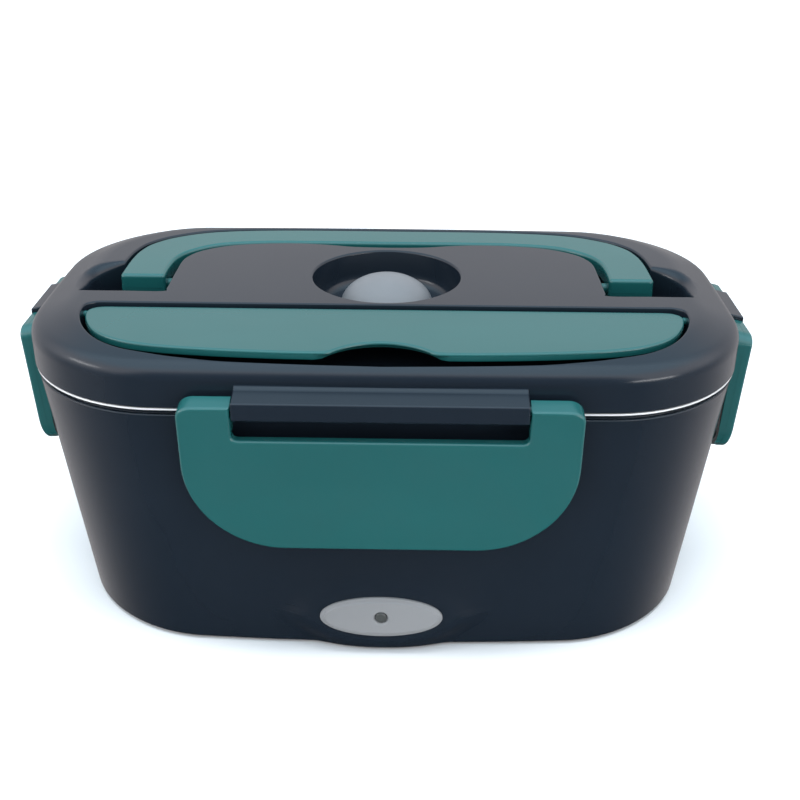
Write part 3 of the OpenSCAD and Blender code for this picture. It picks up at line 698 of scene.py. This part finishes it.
# ---------------------------------------------------------------- indicator
ind = Shape()
N = 128
rr = [(lift(ellipse(19.5, 7.5, N), 0.0)), lift(ellipse(19.5, 7.5, N), 0.5), lift(ellipse(19.4, 7.4, N), 0.7)]
for k in range(1, 6):
    g = math.radians(90 * k / 5)
    rr.append(lift(ellipse(19.4 - 1.3 * math.sin(g), 7.4 - 1.3 * math.sin(g), N), 0.7 + 0.62 * (1 - math.cos(g)) ** 0.8))
rr += [lift(ellipse(17.9, 5.95, N), 1.38), lift(ellipse(17.5, 5.6, N), 1.4), lift(ellipse(17.0, 5.2, N), 1.37)]
rr += [lift(ellipse(10, 4.4, N), 1.37), lift(circle(3.2, N), 1.38), lift(circle(2.75, N), 1.38), lift(circle(2.6, N), 1.34),
       lift(circle(2.35, N), 1.2), lift(circle(2.1, N), 0.9), lift(circle(2.0, N), 0.6), lift(circle(2.0, N), 0.0)]
ind.loft(rr, wrap=True)
ind.move(Matrix.Translation((0, -62.4, 15.2)) @ Matrix.Rotation(math.radians(90), 4, "X"))
build("indicator_bezel", ind, GREY, "body", ["indicator_plate"], sharp=60)
lens = revolve([(0, 0), (1.95, 0), (1.95, 6.5), (1.9, 6.75), (1.7, 6.98), (1.4, 7.12), (0.9, 7.24), (0.4, 7.3), (0, 7.31)], 48)
lens.move(Matrix.Translation((0, -56.6, 15.2)) @ Matrix.Rotation(math.radians(90), 4, "X"))
build("indicator_window", lens, LENS, "body", ["indicator_lens"])


# ---------------------------------------------------------------- steel container
def box_ring(i):
    return ring(97.5 - i, 51 - i, 34 - i, 1.8, 2.6)


def container_shape():
    t = 0.7
    zb = 25.2
    out = [lift(box_ring(9 + t), zb)]
    for k in range(0, 8):
        g = math.radians(90 * k / 7)
        out.append(lift(box_ring(8.2 * (1 - math.sin(g))), zb + 9.0 * (1 - math.cos(g)) if k else zb))
    a, b = box_ring(0), lid_ring(6.2)
    for u in (0.2, 0.4, 0.6, 0.8, 0.97):
        out.append(lift(a + (b - a) * u, zb + 9 + (86.4 - zb - 9) * u))
    for i, z in ((6.2, 86.9), (5.9, 87.7), (5.4, 88.2), (4.7, 88.45), (4.0, 88.5), (1.5, 88.5), (1.25, 88.42),
                 (1.0, 88.36), (0.8, 88.34), (0.6, 88.36), (0.42, 88.43), (0.3, 88.54), (0.25, 88.68),
                 (0.28, 88.84), (0.38, 88.98), (0.55, 89.06), (0.8, 89.1), (1.3, 89.1), (4.3, 89.1), (5.2, 89.02),
                 (6.0, 88.6), (6.5, 87.9), (6.85, 87.0)):
        out.append(lift(lid_ring(i), z))
    c, d = lid_ring(6.9), box_ring(t)
    for u in (0.03, 0.2, 0.4, 0.6, 0.8):
        out.append(lift(c + (d - c) * u, 86.4 + (zb + 9.2 - 86.4) * u))
    for k in range(7, -1, -1):
        g = math.radians(90 * k / 7)
        out.append(lift(box_ring(t + 7.8 * (1 - math.sin(g))), zb + t + 8.5 * (1 - math.cos(g))))
    for i, dz in ((10.2, 0.0), (10.8, 0.12), (11.6, 0.28), (12.6, 0.3)):
        out.append(lift(box_ring(i), zb + t + dz))
    s = Shape()
    s.loft(out)
    s.fill([out[0][:, :2]], zb, up=False)
    s.fill([out[-1][:, :2]], zb + t + 0.3)
    return s


build("steel_pan", container_shape(), STEEL, "container", ["steel_container"], sharp=60)

# ---------------------------------------------------------------- lid
RHO = 6.0
ALPHA = math.atan(0.35)
I_E = RHO * (1 - math.sin(ALPHA))
Z0 = LID_Z - 0.35 * (SHOULDER - I_E) - RHO * math.cos(ALPHA)
SOFT = 2.4


def top_height(i):
    i = np.asarray(i, float)
    c = np.clip(i, 0, I_E)
    z = Z0 + np.sqrt(np.maximum(RHO ** 2 - (RHO - c) ** 2, 0))
    z = np.where(i > I_E, LID_Z - 0.35 * (SHOULDER - i), z)
    b = SHOULDER + SOFT - i
    z = np.where(i > SHOULDER - SOFT, LID_Z - 0.35 * b * b / (4 * SOFT), z)
    return np.where(i > SHOULDER + SOFT, LID_Z, z)


def inset(p):
    """How far inside the lid's edge a point lies, measured along the family of outlines."""
    x, y = np.abs(p[:, 0]), np.abs(p[:, 1])
    i = np.zeros(len(p))
    x0, y0 = x.copy(), y.copy()
    for _ in range(12):
        aa, bb = LID_A - LID_SX - i, LID_B - LID_SY - i
        x1 = x - LID_SX * (1 - np.clip(y0 / np.maximum(bb, 1), 0, 1) ** 2)
        y1 = y - LID_SY * (1 - np.clip(x0 / np.maximum(aa, 1), 0, 1) ** 2)
        x0, y0 = x1, y1
        qx = x0 - (LID_A - LID_SX) + LID_R
        qy = y0 - (LID_B - LID_SY) + LID_R
        sd = np.hypot(np.maximum(qx, 0), np.maximum(qy, 0)) + np.minimum(np.maximum(qx, qy), 0) - LID_R
        i = np.clip(-sd, 0, 60)
    return i


pocket_half = catmull([[0, -61.4], [23, -61], [45, -60.2], [57, -58.9], [66, -57.4], [75, -55], [81.5, -51.5],
                       [86.5, -47], [90.5, -41], [92.8, -34.5], [93.3, -29.5], [92.9, -26.9], [91.3, -25.2], [88.5, -24.5],
                       [80, -24.5], [64, -24.5], [34, -24.5], [0, -24.5]])
cover_half = catmull([[0, -59], [23, -58.8], [34, -58.4], [46, -57.6], [57.5, -56.4], [66.5, -55], [75, -52.6],
                      [82, -48.7], [86.9, -43.8], [90.3, -37.5], [92, -32], [92.1, -29.2], [90.8, -27],
                      [87.5, -25.7], [80, -25.6], [64, -25.6], [34, -25.6], [0, -25.6]])
handle_outer = catmull([[88.6, -0.4], [88.6, 8], [88.4, 16], [87.4, 24], [84.4, 32], [76.8, 39.8], [63, 46],
                        [39, 48.7], [0, 49]])
handle_inner = catmull([[73.8, -0.4], [73.8, 10], [72.6, 18.5], [68.5, 25.6], [60, 31.8], [46, 34.6], [33, 35.2],
                        [0, 35.2]])
groove_inner = catmull([[70.9, -4], [70.9, 10], [69.8, 18], [65.4, 25], [56.5, 30.6], [45, 33.2], [32, 33.9],
                        [22, 32.8], [12, 30.8], [0, 30.2]])
end_pocket = catmull([[71.6, -14.5], [84, -14.5], [97, -14.5], [98.4, -13], [98.4, -4], [98.2, 3], [95.4, 8],
                      [90, 12.2], [84, 14], [76, 14.4], [71.6, 14.2], [70.9, 12.5], [70.9, 0], [70.9, -11.5]], 4, closed=True)


def u_shape(o, i):
    return np.vstack([o, o[-2::-1] * [-1, 1], i * [-1, 1], i[-2::-1]])


def chain(edges):
    nxt = dict(edges)
    start = edges[0][0]
    out, k = [start], nxt[start]
    while k != start:
        out.append(k)
        k = nxt[k]
    return out


def lid_shape():
    s = Shape()
    # the handle's groove joined with the two pockets at its ends
    G = u_shape(np.vstack([[[89.6, -4]], grow_open(handle_outer, 1.0)]), groove_inner)
    PR = end_pocket
    PL = (end_pocket * [-1, 1])[::-1]
    p, t = cdt([G, PR, PL], lambda c: inside(c, G) | inside(c, PR) | inside(c, PL))
    c = p[t].mean(1)
    deep = inside(c, PR) | inside(c, PL)
    GZ, PZ = 100.5, 95.4
    for sel, z in ((deep, PZ), (~deep, GZ)):
        b = s.put(lift(p, z))
        s.f += [tuple(b + q) for q in t[sel]]
    owner = {}
    for k, q in enumerate(t):
        for a, b in ((q[0], q[1]), (q[1], q[2]), (q[2], q[0])):
            owner[(a, b)] = k
    rim_edges, walls = [], []
    for (a, b), k in owner.items():
        if (b, a) not in owner:
            rim_edges.append((a, b))
            walls.append((a, b, deep[k]))
        elif deep[k] and not deep[owner[(b, a)]]:
            s.f.append(tuple(s.put([(*p[a], GZ), (*p[b], GZ), (*p[b], PZ), (*p[a], PZ)]) + np.arange(4)))
    loop = chain(rim_edges)
    P = p[loop]
    # rim: small radius, wider on the outer side of the end pockets where a finger reaches in
    scoop = step((np.abs(P[:, 0]) - 88.5) / 7) * step((P[:, 1] + 13.5) / 6) * step((17 - P[:, 1]) / 5)
    f = 0.75 + 2.6 * scoop
    f = (f + np.roll(f, 1) + np.roll(f, -1) + np.roll(f, 2) + np.roll(f, -2)) / 5
    rims = []

    def rim_rings(P, f, seg=6):
        f = np.broadcast_to(f, (len(P),))
        n = vertex_normals(P)
        wide = P + n * f[:, None]
        h = top_height(inset(wide))
        rings = []
        for k in range(seg + 1):
            g = math.pi / 2 * k / seg
            rings.append(np.c_[P + n * (f * (1 - math.sin(g)))[:, None], h - f * (1 - math.cos(g))])
        return wide, rings

    wide_u, rings_u = rim_rings(P, f)
    s.loft(rings_u)
    low = {k: rings_u[-1][j] for j, k in enumerate(loop)}
    for a, b, d in walls:
        for z0, z1 in (((None, GZ), (GZ, PZ)) if d else ((None, GZ),)):
            top_a = low[a][2] if z0 is None else z0
            top_b = low[b][2] if z0 is None else z0
            s.f.append(tuple(s.put([(*p[a], top_a), (*p[b], top_b), (*p[b], z1), (*p[a], z1)]) + np.arange(4)))
    # cutlery compartment
    C = both(pocket_half)
    wide_c, rings_c = rim_rings(C, 0.6)
    CZ = 94.6
    for k in range(6):
        g = math.pi / 2 * k / 5
        rings_c.append(lift(grow(C, -1.3 * (1 - math.cos(g)) - 0.05), CZ + 1.3 * (1 - math.sin(g))))
    s.loft(rings_c)
    s.fill([rings_c[-1][:, :2]], CZ)
    # vent recess
    V = circle(24.5, 128, (0, 2.0))
    wide_v, rings_v = rim_rings(V, 0.8)
    for r, z in ((24.4, 102.5), (24.2, 99.0), (23.9, 97.4), (23.3, 96.2), (22.4, 95.3), (21.2, 94.75), (20, 94.6),
                 (15.6, 94.6), (4.4, 94.6), (4.1, 94.5), (4.0, 94.2), (4.0, 91.35)):
        rings_v.append(lift(circle(r, 128, (0, 2.0)), z))
    s.loft(rings_v)
    # skin of the top between the openings and the edge
    first = 1.0
    levels = [1.35, 1.8, 2.3, 2.9, 3.5, I_E, 5.0, 6.5, 8.5, 10.0, 10.6, 11.2, 11.8, 12.4, 13.0, 13.6, 14.2, 14.8,
              15.4, 17, 22, 28]
    blocked = [grow(wide_u, 0.25), grow(wide_c, 0.25), grow(wide_v, 0.25)]
    pts, segs = [], []
    n_pts = 0
    for lv in levels:
        q = lid_ring(lv, (12, 34, 56))
        bad = np.zeros(len(q), bool)
        for w in blocked:
            bad |= inside(q, w)
        ids = np.full(len(q), -1)
        ids[~bad] = n_pts + np.arange((~bad).sum())
        n_pts += int((~bad).sum())
        pts.append(q[~bad])
        m = len(q)
        for i in range(m):
            j = (i + 1) % m
            if ids[i] >= 0 and ids[j] >= 0:
                segs.append((int(ids[i]), int(ids[j])))
    pts = np.vstack(pts)
    edge = lid_ring(first)

    def keep(c):
        return inside(c, edge) & ~inside(c, wide_u) & ~inside(c, wide_c) & ~inside(c, wide_v)

    q, t = cdt([edge, wide_u, wide_c, wide_v], keep, pts, segs)
    b = s.put(np.c_[q, top_height(inset(q))])
    s.f += [tuple(b + k) for k in t]
    # outer wall, bottom edge and inside
    a0 = math.acos((RHO - first) / RHO)
    wall = [np.c_[edge, top_height(inset(edge))]]
    for k in range(1, 8):
        g = a0 * (1 - k / 7)
        wall.append(lift(lid_ring(RHO * (1 - math.cos(g))), Z0 + RHO * math.sin(g)))
    wall += [lift(lid_ring(0), 94.0), lift(lid_ring(0), 89.75)]
    for k in range(1, 5):
        g = math.pi / 2 * k / 4
        wall.append(lift(lid_ring(0.45 * (1 - math.cos(g))), 89.75 - 0.45 * math.sin(g)))
    wall += [lift(lid_ring(2.4), 89.3), lift(lid_ring(2.4), 91.35)]
    s.loft(wall)
    s.fill([wall[-1][:, :2], circle(4.0, 128, (0, 2.0))], 91.35, up=False)
    return s


lid = lid_shape()
bar = np.array([(2.0, 97.5), (0.15, 97.3)] + [(-0.35, 96.85), (-0.9, 96.5), (-1.6, 96.22)]
               + [(-6.3, 95.05)] + [(-6.3 + 0.75 * math.cos(math.radians(a)) - 0.14, 94.32 + 0.75 * math.sin(math.radians(a)))
                                    for a in (105, 125, 145, 165, 180)]
               + [(-7.2, 93.5), (-7.2, 90.0)] + [(-6.5 - 0.7 * math.cos(math.radians(a)), 90.0 - 0.7 * math.sin(math.radians(a)))
                                                 for a in (22, 45, 68, 90)] + [(2.0, 89.3)])
for m, h in SIDES.values():
    lid.join(prism(bar, h, 0.5, 5), m)
o_lid = build("lid_moulding", lid, NAVY, "lid", ["lid_shell"], sharp=42)

panel = Shape()
pr = [lift(lid_ring(2.8), 91.5), lift(lid_ring(2.8), 91.3), lift(lid_ring(8.2), 91.3)]
for k in range(6):
    g = math.pi / 2 * k / 5
    pr.append(lift(lid_ring(8.2 + 0.8 * (1 - math.cos(g))), 89.0 - 0.8 * math.sin(g)))
pr += [lift(lid_ring(12), 88.2), lift(lid_ring(12.5), 88.35), lift(lid_ring(13.2), 88.6), lift(lid_ring(14), 88.6)]
PS = [(x, y) for x in (-50, 50) for y in (-12, 20)]
hl = [circle(3.3, 40, p) for p in PS]
vent = circle(4.3, 64, (0, 2.0))
panel.loft(pr[::-1])
panel.fill([pr[-1][:, :2]] + hl + [vent], 88.6, up=False)
panel.fill([pr[0][:, :2]] + [circle(1.6, 40, p) for p in PS] + [circle(4.0, 64, (0, 2.0))], 91.5)
for p in PS:
    panel.loft([lift(circle(r, 40, p), z) for r, z in ((3.3, 88.6), (3.05, 88.75), (3.0, 89.0), (3.0, 90.3), (1.6, 90.3), (1.6, 91.5))])
panel.loft([lift(vent, 88.6), lift(circle(4.05, 64, (0, 2.0)), 88.8), lift(circle(4.0, 64, (0, 2.0)), 89.2), lift(circle(4.0, 64, (0, 2.0)), 91.5)])
build("lid_liner", panel, PANEL, "lid", ["lid_inner_panel"])
screws("liner_fixings", PS, 88.75, (2.6, 1.5, 1.25, 9.5), "lid", ["panel_screws"])

seal = Shape()
sr = []
for i, z in ((3.4, 91.3), (3.4, 89.8), (3.5, 89.45), (3.8, 89.22), (4.3, 89.2), (4.7, 89.22), (4.95, 89.4), (5.0, 89.7),
             (5.2, 89.95), (5.8, 90.0), (6.4, 89.95), (6.6, 89.7), (6.65, 89.4), (6.9, 89.22), (7.3, 89.2), (7.8, 89.22),
             (8.1, 89.45), (8.2, 89.8), (8.2, 91.3)):
    sr.append(lift(lid_ring(i), z))
seal.loft(sr, wrap=True)
build("lid_gasket", seal, SILICONE, "lid", ["lid_seal"])


# ---------------------------------------------------------------- handle
def handle_shape():
    # the square ends of the arms have small corner radii in plan
    tip_o = np.array(arc(87.1, 1.1, 1.5, -90, 0, 6))
    tip_i = np.array(arc(75.1, 0.9, 1.3, -90, -180, 6))
    out = u_shape(np.vstack([tip_o, handle_outer[handle_outer[:, 1] > 1.5]]),
                  np.vstack([tip_i, handle_inner[handle_inner[:, 1] > 1.3]]))
    s = Shape()
    z0, z1, rt, rb = 101.05, 106.55, 1.2, 0.9
    rings = []
    for j in range(6):
        g = math.pi / 2 * j / 5
        rings.append(lift(grow(out, -rb * (1 - math.sin(g))), z0 + rb * (1 - math.cos(g))))
    for j in range(8):
        g = math.pi / 2 * j / 7
        rings.append(lift(grow(out, -rt * (1 - math.cos(g))), z1 - rt * (1 - math.sin(g))))
    s.loft(rings)
    s.fill([rings[0][:, :2]], z0, up=False)
    s.fill([rings[-1][:, :2]], z1)
    for sx in (-1, 1):
        m = Matrix.Translation((sx * 75.2, 5, 101.6)) @ Matrix.Rotation(math.radians(-90 * sx), 4, "Y")
        s.join(revolve([(0, 0), (1.7, 0), (1.7, 6.7), (1.4, 7.2), (0, 7.2)], 40), m)
        # rounded knuckle below each arm round the pivot
        prof = []
        for a in np.linspace(-176, -4, 22):
            prof.append((5 + 5.35 * math.cos(math.radians(a)), 101.6 + 5.35 * math.sin(math.radians(a))))
        prof = np.array([(y, z) for y, z in prof if z < 101.3] )
        prof = np.vstack([prof, [(prof[-1, 0], 103.0), (prof[0, 0], 103.0)]])
        kn = prism(prof, 7.3, 0.6, 4)
        s.join(kn, Matrix.Translation((sx * 81.2, 0, 0)))
    return s


handle = handle_shape()
build("handle_moulding", handle, TEAL, "handle", ["carry_handle"], sharp=42)


# ---------------------------------------------------------------- cutlery cover
def cover_outline():
    c = np.array([0, -70.5])
    R = 19.3
    half = cover_half
    d = np.linalg.norm(half - c, axis=1)
    out_pts = half[d > R + 0.2]
    # point where the front edge meets the notch
    k = int(np.argmax(d > R))
    a, b = half[k - 1], half[k]
    for _ in range(40):
        m = (a + b) / 2
        if np.linalg.norm(m - c) > R:
            b = m
        else:
            a = m
    hit = (a + b) / 2
    g0 = math.atan2(hit[1] - c[1], hit[0] - c[0])
    g1 = math.pi / 2
    arc_pts = np.array([[c[0] + R * math.cos(g), c[1] + R * math.sin(g)] for g in np.linspace(g1, g0, 16)])
    right = np.vstack([arc_pts, out_pts])
    # soften the corner of the notch
    n = len(arc_pts)
    for _ in range(1):
        sm = right.copy()
        sm[n - 3:n + 3] = (right[n - 4:n + 2] + 2 * right[n - 3:n + 3] + right[n - 2:n + 4]) / 4
        right = sm
    return both(right)


cov = cover_outline()
away = cov - [0, -70.5]
far = np.linalg.norm(away, axis=1, keepdims=True)
under = np.where((far < 21.2) & (cov[:, 1:] < -40), [0, -70.5] + away / far * 21.2, cov)
cover = Shape()
cr = [lift(grow(under, -0.4 * (1 - math.sin(math.radians(a)))), 102.9 + 0.4 * (1 - math.cos(math.radians(a)))) for a in (0, 30, 60, 90)]
cr += [lift(under, 104.55), lift(grow(cov, -0.12), 104.6), lift(cov, 104.75)]
cr += [lift(grow(cov, -0.75 * (1 - math.cos(math.radians(a)))), 104.75 + 0.75 * math.sin(math.radians(a))) for a in (15, 30, 45, 60, 75, 90)]
cover.loft(cr)
cover.fill([cr[0][:, :2]], 102.9, up=False)
cover.fill([cr[-1][:, :2]], 105.5)
for sx in (-1, 1):
    cover.join(revolve([(0, 0), (1.15, 0), (1.15, 5.6), (0.85, 6.0), (0, 6.0)], 32),
               Matrix.Translation((sx * 89, -28.6, 103.8)) @ Matrix.Rotation(math.radians(90 * sx), 4, "Y"))
build("cutlery_cover", cover, TEAL, "cover", ["compartment_cover"], sharp=42)

# ---------------------------------------------------------------- vent plug
dome = [(15.6 * math.cos(math.radians(a)), 95.8 + 10.5 * math.sin(math.radians(a))) for a in range(0, 90, 6)]
plug = revolve([(0, 88.6), (3.6, 88.6), (3.9, 88.8), (3.95, 89.2), (3.95, 94.65), (15.2, 94.65), (15.5, 94.75), (15.6, 95.0)]
               + dome + [(0.5, 106.29), (0, 106.3)], 96, (0, 2.0))
build("steam_plug", plug, PLUG, "plug", ["vent_plug"], sharp=50)

# ---------------------------------------------------------------- latches
TOP = 2.7


def low_arc(hw, rc, zb, n=5):
    return [(hw - rc + rc * math.cos(math.radians(a)), zb + rc + rc * math.sin(math.radians(a))) for a in range(0, -91, -n)]


def top_arc(hw):
    return [(hw - 4.6 + 4.6 * math.cos(math.radians(a)), TOP - 4.6 + 4.6 * math.sin(math.radians(a))) for a in range(80, -1, -10)]


def flap_outline(hw, iw, rc, zb):
    right = np.array([(iw, TOP), (hw - 4.6, TOP)] + top_arc(hw) + low_arc(hw, rc, zb))
    left = right[::-1] * [-1, 1]
    notch = [(-iw, -7.3)] + [(-iw + 1.7 + 1.7 * math.cos(math.radians(a)), -7.9 + 1.7 * math.sin(math.radians(a))) for a in (190, 215, 240, 270)]
    notch = np.array(notch)
    out = np.vstack([right, left, notch, notch[::-1] * [-1, 1]])
    return out[::-1]


def ear_outline(hw, iw):
    return np.array([(iw, -7.9), (iw, TOP), (hw - 4.6, TOP)] + top_arc(hw) + [(hw, -7.9)])[::-1]


def skirt_outline(hw, rc, zb, mid):
    o = np.array([(hw - 0.09, -5.6)] + low_arc(hw - 0.09, rc, zb + 0.07) + [(mid, zb + 0.07)])
    q = np.array([(hw - 1.8, -5.6)] + low_arc(hw - 1.8, rc - 1.6, zb + 1.8) + [(mid, zb + 1.8)])
    return np.vstack([o, q[::-1]])[::-1]


def latch_shape(hw, iw, rc, zb, hook):
    s = Shape()
    P = flap_outline(hw, iw, rc, zb)
    rings = [lift(P, 0.6), lift(P, 2.34)]
    for k in range(1, 8):
        g = math.pi / 2 * k / 7
        rings.append(lift(grow(P, -1.0 * (1 - math.cos(g))), 2.34 + 1.0 * math.sin(g)))
    s.loft(rings)
    s.fill([rings[0][:, :2]], 0.6, up=False)
    s.fill([rings[-1][:, :2]], 3.34)
    for sx in (1, -1):
        k = skirt_outline(hw, rc, zb, hook + 3)
        s.join(plate(k if sx > 0 else (k * [-1, 1])[::-1], -2.2, 0.9, 0.02, 0.35, 4))
    E = ear_outline(hw, iw)
    for sx in (1, -1):
        e = E if sx > 0 else (E * [-1, 1])[::-1]
        er = [lift(grow(e, -0.04), 1.8)]
        for k in range(6):
            g = math.pi / 2 * k / 5
            er.append(lift(grow(e, -0.04 - 0.5 * (1 - math.cos(g))), -1.9 - 0.5 * math.sin(g)))
        t = Shape()
        t.loft(er)
        t.fill([er[0][:, :2]], 1.8)
        t.fill([er[-1][:, :2]], -2.4, up=False)
        s.join(t)
    s.move(Matrix.Rotation(math.radians(3.55), 4, "X") @ Matrix.Rotation(math.radians(90), 4, "X"))
    # the rims stop short of the steel rim; the ears' tops slope down like the hinge bar
    for v in s.v:
        v[:, 1] = np.where(v[:, 2] < -9, np.minimum(v[:, 1], 3.55), v[:, 1])
        w = np.clip((v[:, 2] + 3.5) / 6.0, 0, 1)
        v[:, 2] -= w * (TOP + 0.062 * v[:, 1] - 2.5 + (2.4 - v[:, 1]) * 0.2586)
    for sx in (-1, 1):
        s.join(revolve([(0, 0), (1.3, 0), (1.3, 5.0), (1.1, 5.3), (0, 5.3)], 32),
               Matrix.Translation((sx * (iw + 1), 0, 0)) @ Matrix.Rotation(math.radians(-90 * sx), 4, "Y"))
    hk = rounded([(0.2, -22.6), (3.4, -19.6), (3.4, -17.4), (2.9, -16.8), (-0.4, -16.8), (-0.4, -22.6)], [0, 0.4, 0.3, 0.3, 0, 0], 3)
    s.join(prism(hk, hook, 0.4, 3))
    return s


LATCH = {"front": (58.1, 42.6, 29.5, -47.9, 20), "back": (58.1, 42.6, 29.5, -47.9, 20),
         "left": (25.8, 12.0, 11, -42.8, 7), "right": (25.8, 12.0, 11, -42.8, 7)}
PIV = {"front": rot_z(0, (0, -68.2, 92.4)), "back": rot_z(180, (0, 68.2, 92.4)),
       "right": rot_z(90, (115.8, 8.7, 92.4)), "left": rot_z(-90, (-115.8, 8.7, 92.4))}
for side, dims in LATCH.items():
    sh = latch_shape(*dims).move(PIV[side])
    build("latch_moulding_" + side, sh, TEAL, "latch_" + side, ["latch_" + side], sharp=42)

# ---------------------------------------------------------------- camera, floor, light
scene = bpy.context.scene
yaw, pitch, roll = 0.011167152813629538, 0.46552115297301994, 0.007770211230510466
fwd = Vector((-math.sin(yaw), math.cos(yaw), 0))
rgt = Vector((math.cos(yaw), math.sin(yaw), 0))
up = Vector((0, 0, 1))
f2 = fwd * math.cos(pitch) - up * math.sin(pitch)
u2 = up * math.cos(pitch) + fwd * math.sin(pitch)
r3 = rgt * math.cos(roll) + u2 * math.sin(roll)
u3 = u2 * math.cos(roll) - rgt * math.sin(roll)
cam_data = bpy.data.cameras.new("camera")
cam_data.sensor_width = 36
cam_data.sensor_fit = "HORIZONTAL"
cam_data.lens = 1127.8030799344685 / 800 * 36
cam_data.clip_start, cam_data.clip_end = 0.01, 50
cam = bpy.data.objects.new("camera", cam_data)
cam.matrix_world = Matrix(((r3.x, u3.x, -f2.x, 0.008713673867), (r3.y, u3.y, -f2.y, -0.352524741929),
                           (r3.z, u3.z, -f2.z, 0.238086226275), (0, 0, 0, 1)))
scene.collection.objects.link(cam)
scene.camera = cam

floor_me = bpy.data.meshes.new("floor")
floor_me.from_pydata([(-30, -30, 0), (30, -30, 0), (30, 30, 0), (-30, 30, 0)], [], [(0, 1, 2, 3)])
floor = bpy.data.objects.new("floor", floor_me)
scene.collection.objects.link(floor)
fm, nt, bs, co = node_tree("floor_mat")
nz = noise(nt, co.outputs["Object"], 3, 3, 0.5)
col = mixed(nt, ranged(nt, nz.outputs["Fac"], 0, 1).outputs[0], (0.90, 0.90, 0.90), (0.93, 0.93, 0.93))
nt.links.new(col, bs.inputs["Base Color"])
bs.inputs["Roughness"].default_value = 0.9
bs.inputs["Specular IOR Level"].default_value = 0.1
floor_me.materials.append(fm)
floor.visible_glossy = False

world = bpy.data.worlds.new("studio")
scene.world = world
world.use_nodes = True
wt = world.node_tree
for n in list(wt.nodes):
    wt.nodes.remove(n)
wo = wt.nodes.new("ShaderNodeOutputWorld")
bg = wt.nodes.new("ShaderNodeBackground")
wt.links.new(bg.outputs[0], wo.inputs[0])
wco = wt.nodes.new("ShaderNodeTexCoord")
sep = wt.nodes.new("ShaderNodeSeparateXYZ")
wt.links.new(wco.outputs["Generated"], sep.inputs[0])


def band(axis, f0, f1, t0, t1):
    r = wt.nodes.new("ShaderNodeMapRange")
    r.interpolation_type = "SMOOTHSTEP"
    for k, v in (("From Min", f0), ("From Max", f1), ("To Min", t0), ("To Max", t1)):
        r.inputs[k].default_value = v
    wt.links.new(sep.outputs[axis], r.inputs["Value"])
    return r.outputs[0]


def wmath(op, a, b):
    m = wt.nodes.new("ShaderNodeMath")
    m.operation = op
    for k, v in enumerate((a, b)):
        if isinstance(v, (int, float)):
            m.inputs[k].default_value = v
        else:
            wt.links.new(v, m.inputs[k])
    return m.outputs[0]


# dim below and towards the camera, bright behind and above
low = band("Y", -0.3, 0.7, 0.05, 0.48)
high = band("Y", -0.95, -0.72, 0.06, 0.74)
hood = wmath("MULTIPLY", band("Y", -0.95, -0.72, 0.0, 0.75), band("Y", 0.55, -0.05, 0.0, 1.0))
rise = band("Z", -0.08, 0.36, 0.0, 1.0)
sides = wmath("MULTIPLY", band("X", 0.45, 0.95, 0.0, 0.26), 1.0)
sides = wmath("ADD", sides, band("X", -0.45, -0.95, 0.0, 0.30))
low = wmath("MULTIPLY", wmath("ADD", low, sides), band("Z", -0.85, -0.58, 0.15, 1.0))
sky = wmath("ADD", high, hood)
wt.links.new(wmath("ADD", wmath("MULTIPLY", low, wmath("SUBTRACT", 1.0, rise)), wmath("MULTIPLY", sky, rise)), bg.inputs["Strength"])
cool = band("Z", 0.45, 0.85, 0.0, 1.0)
tone = wt.nodes.new("ShaderNodeMix")
tone.data_type = "RGBA"
wt.links.new(cool, [i for i in tone.inputs if i.name == "Factor" and i.type == "VALUE"][0])
[i for i in tone.inputs if i.name == "A" and i.type == "RGBA"][0].default_value = (1.0, 0.965, 0.985, 1)
[i for i in tone.inputs if i.name == "B" and i.type == "RGBA"][0].default_value = (0.78, 1.04, 1.22, 1)
wt.links.new([o for o in tone.outputs if o.type == "RGBA"][0], bg.inputs["Color"])


def area(name, loc, target, size, power, color=(1, 1, 1), spread=180):
    l = bpy.data.lights.new(name, "AREA")
    l.shape = "RECTANGLE"
    l.size, l.size_y = size
    l.energy = power
    l.color = color
    l.spread = math.radians(spread)
    o = bpy.data.objects.new(name, l)
    o.location = loc
    d = Vector(target) - Vector(loc)
    o.rotation_mode = "QUATERNION"
    o.rotation_quaternion = d.to_track_quat("-Z", "Y")
    scene.collection.objects.link(o)
    return o


over = area("overhead", (0.0, -0.3, 2.1), (0, -0.02, 0.08), (1.5, 0.55), 30)
over.visible_glossy = False
fill = area("front_fill", (-0.3, -2.3, 1.7), (0, 0, 0.05), (2.4, 1.6), 9)
fill.visible_glossy = False
# two small softboxes that draw the streaks on the lid's front corners
area("streak_right", (1.50, -1.62, 0.30), (0, 0, 0.09), (1.30, 0.24), 6.0)
area("streak_left", (-1.75, -0.65, 0.74), (0, 0, 0.09), (0.85, 0.16), 2.4)
scene.view_settings.view_transform = "Standard"
scene.view_settings.look = "None"

bpy.context.view_layer.update()
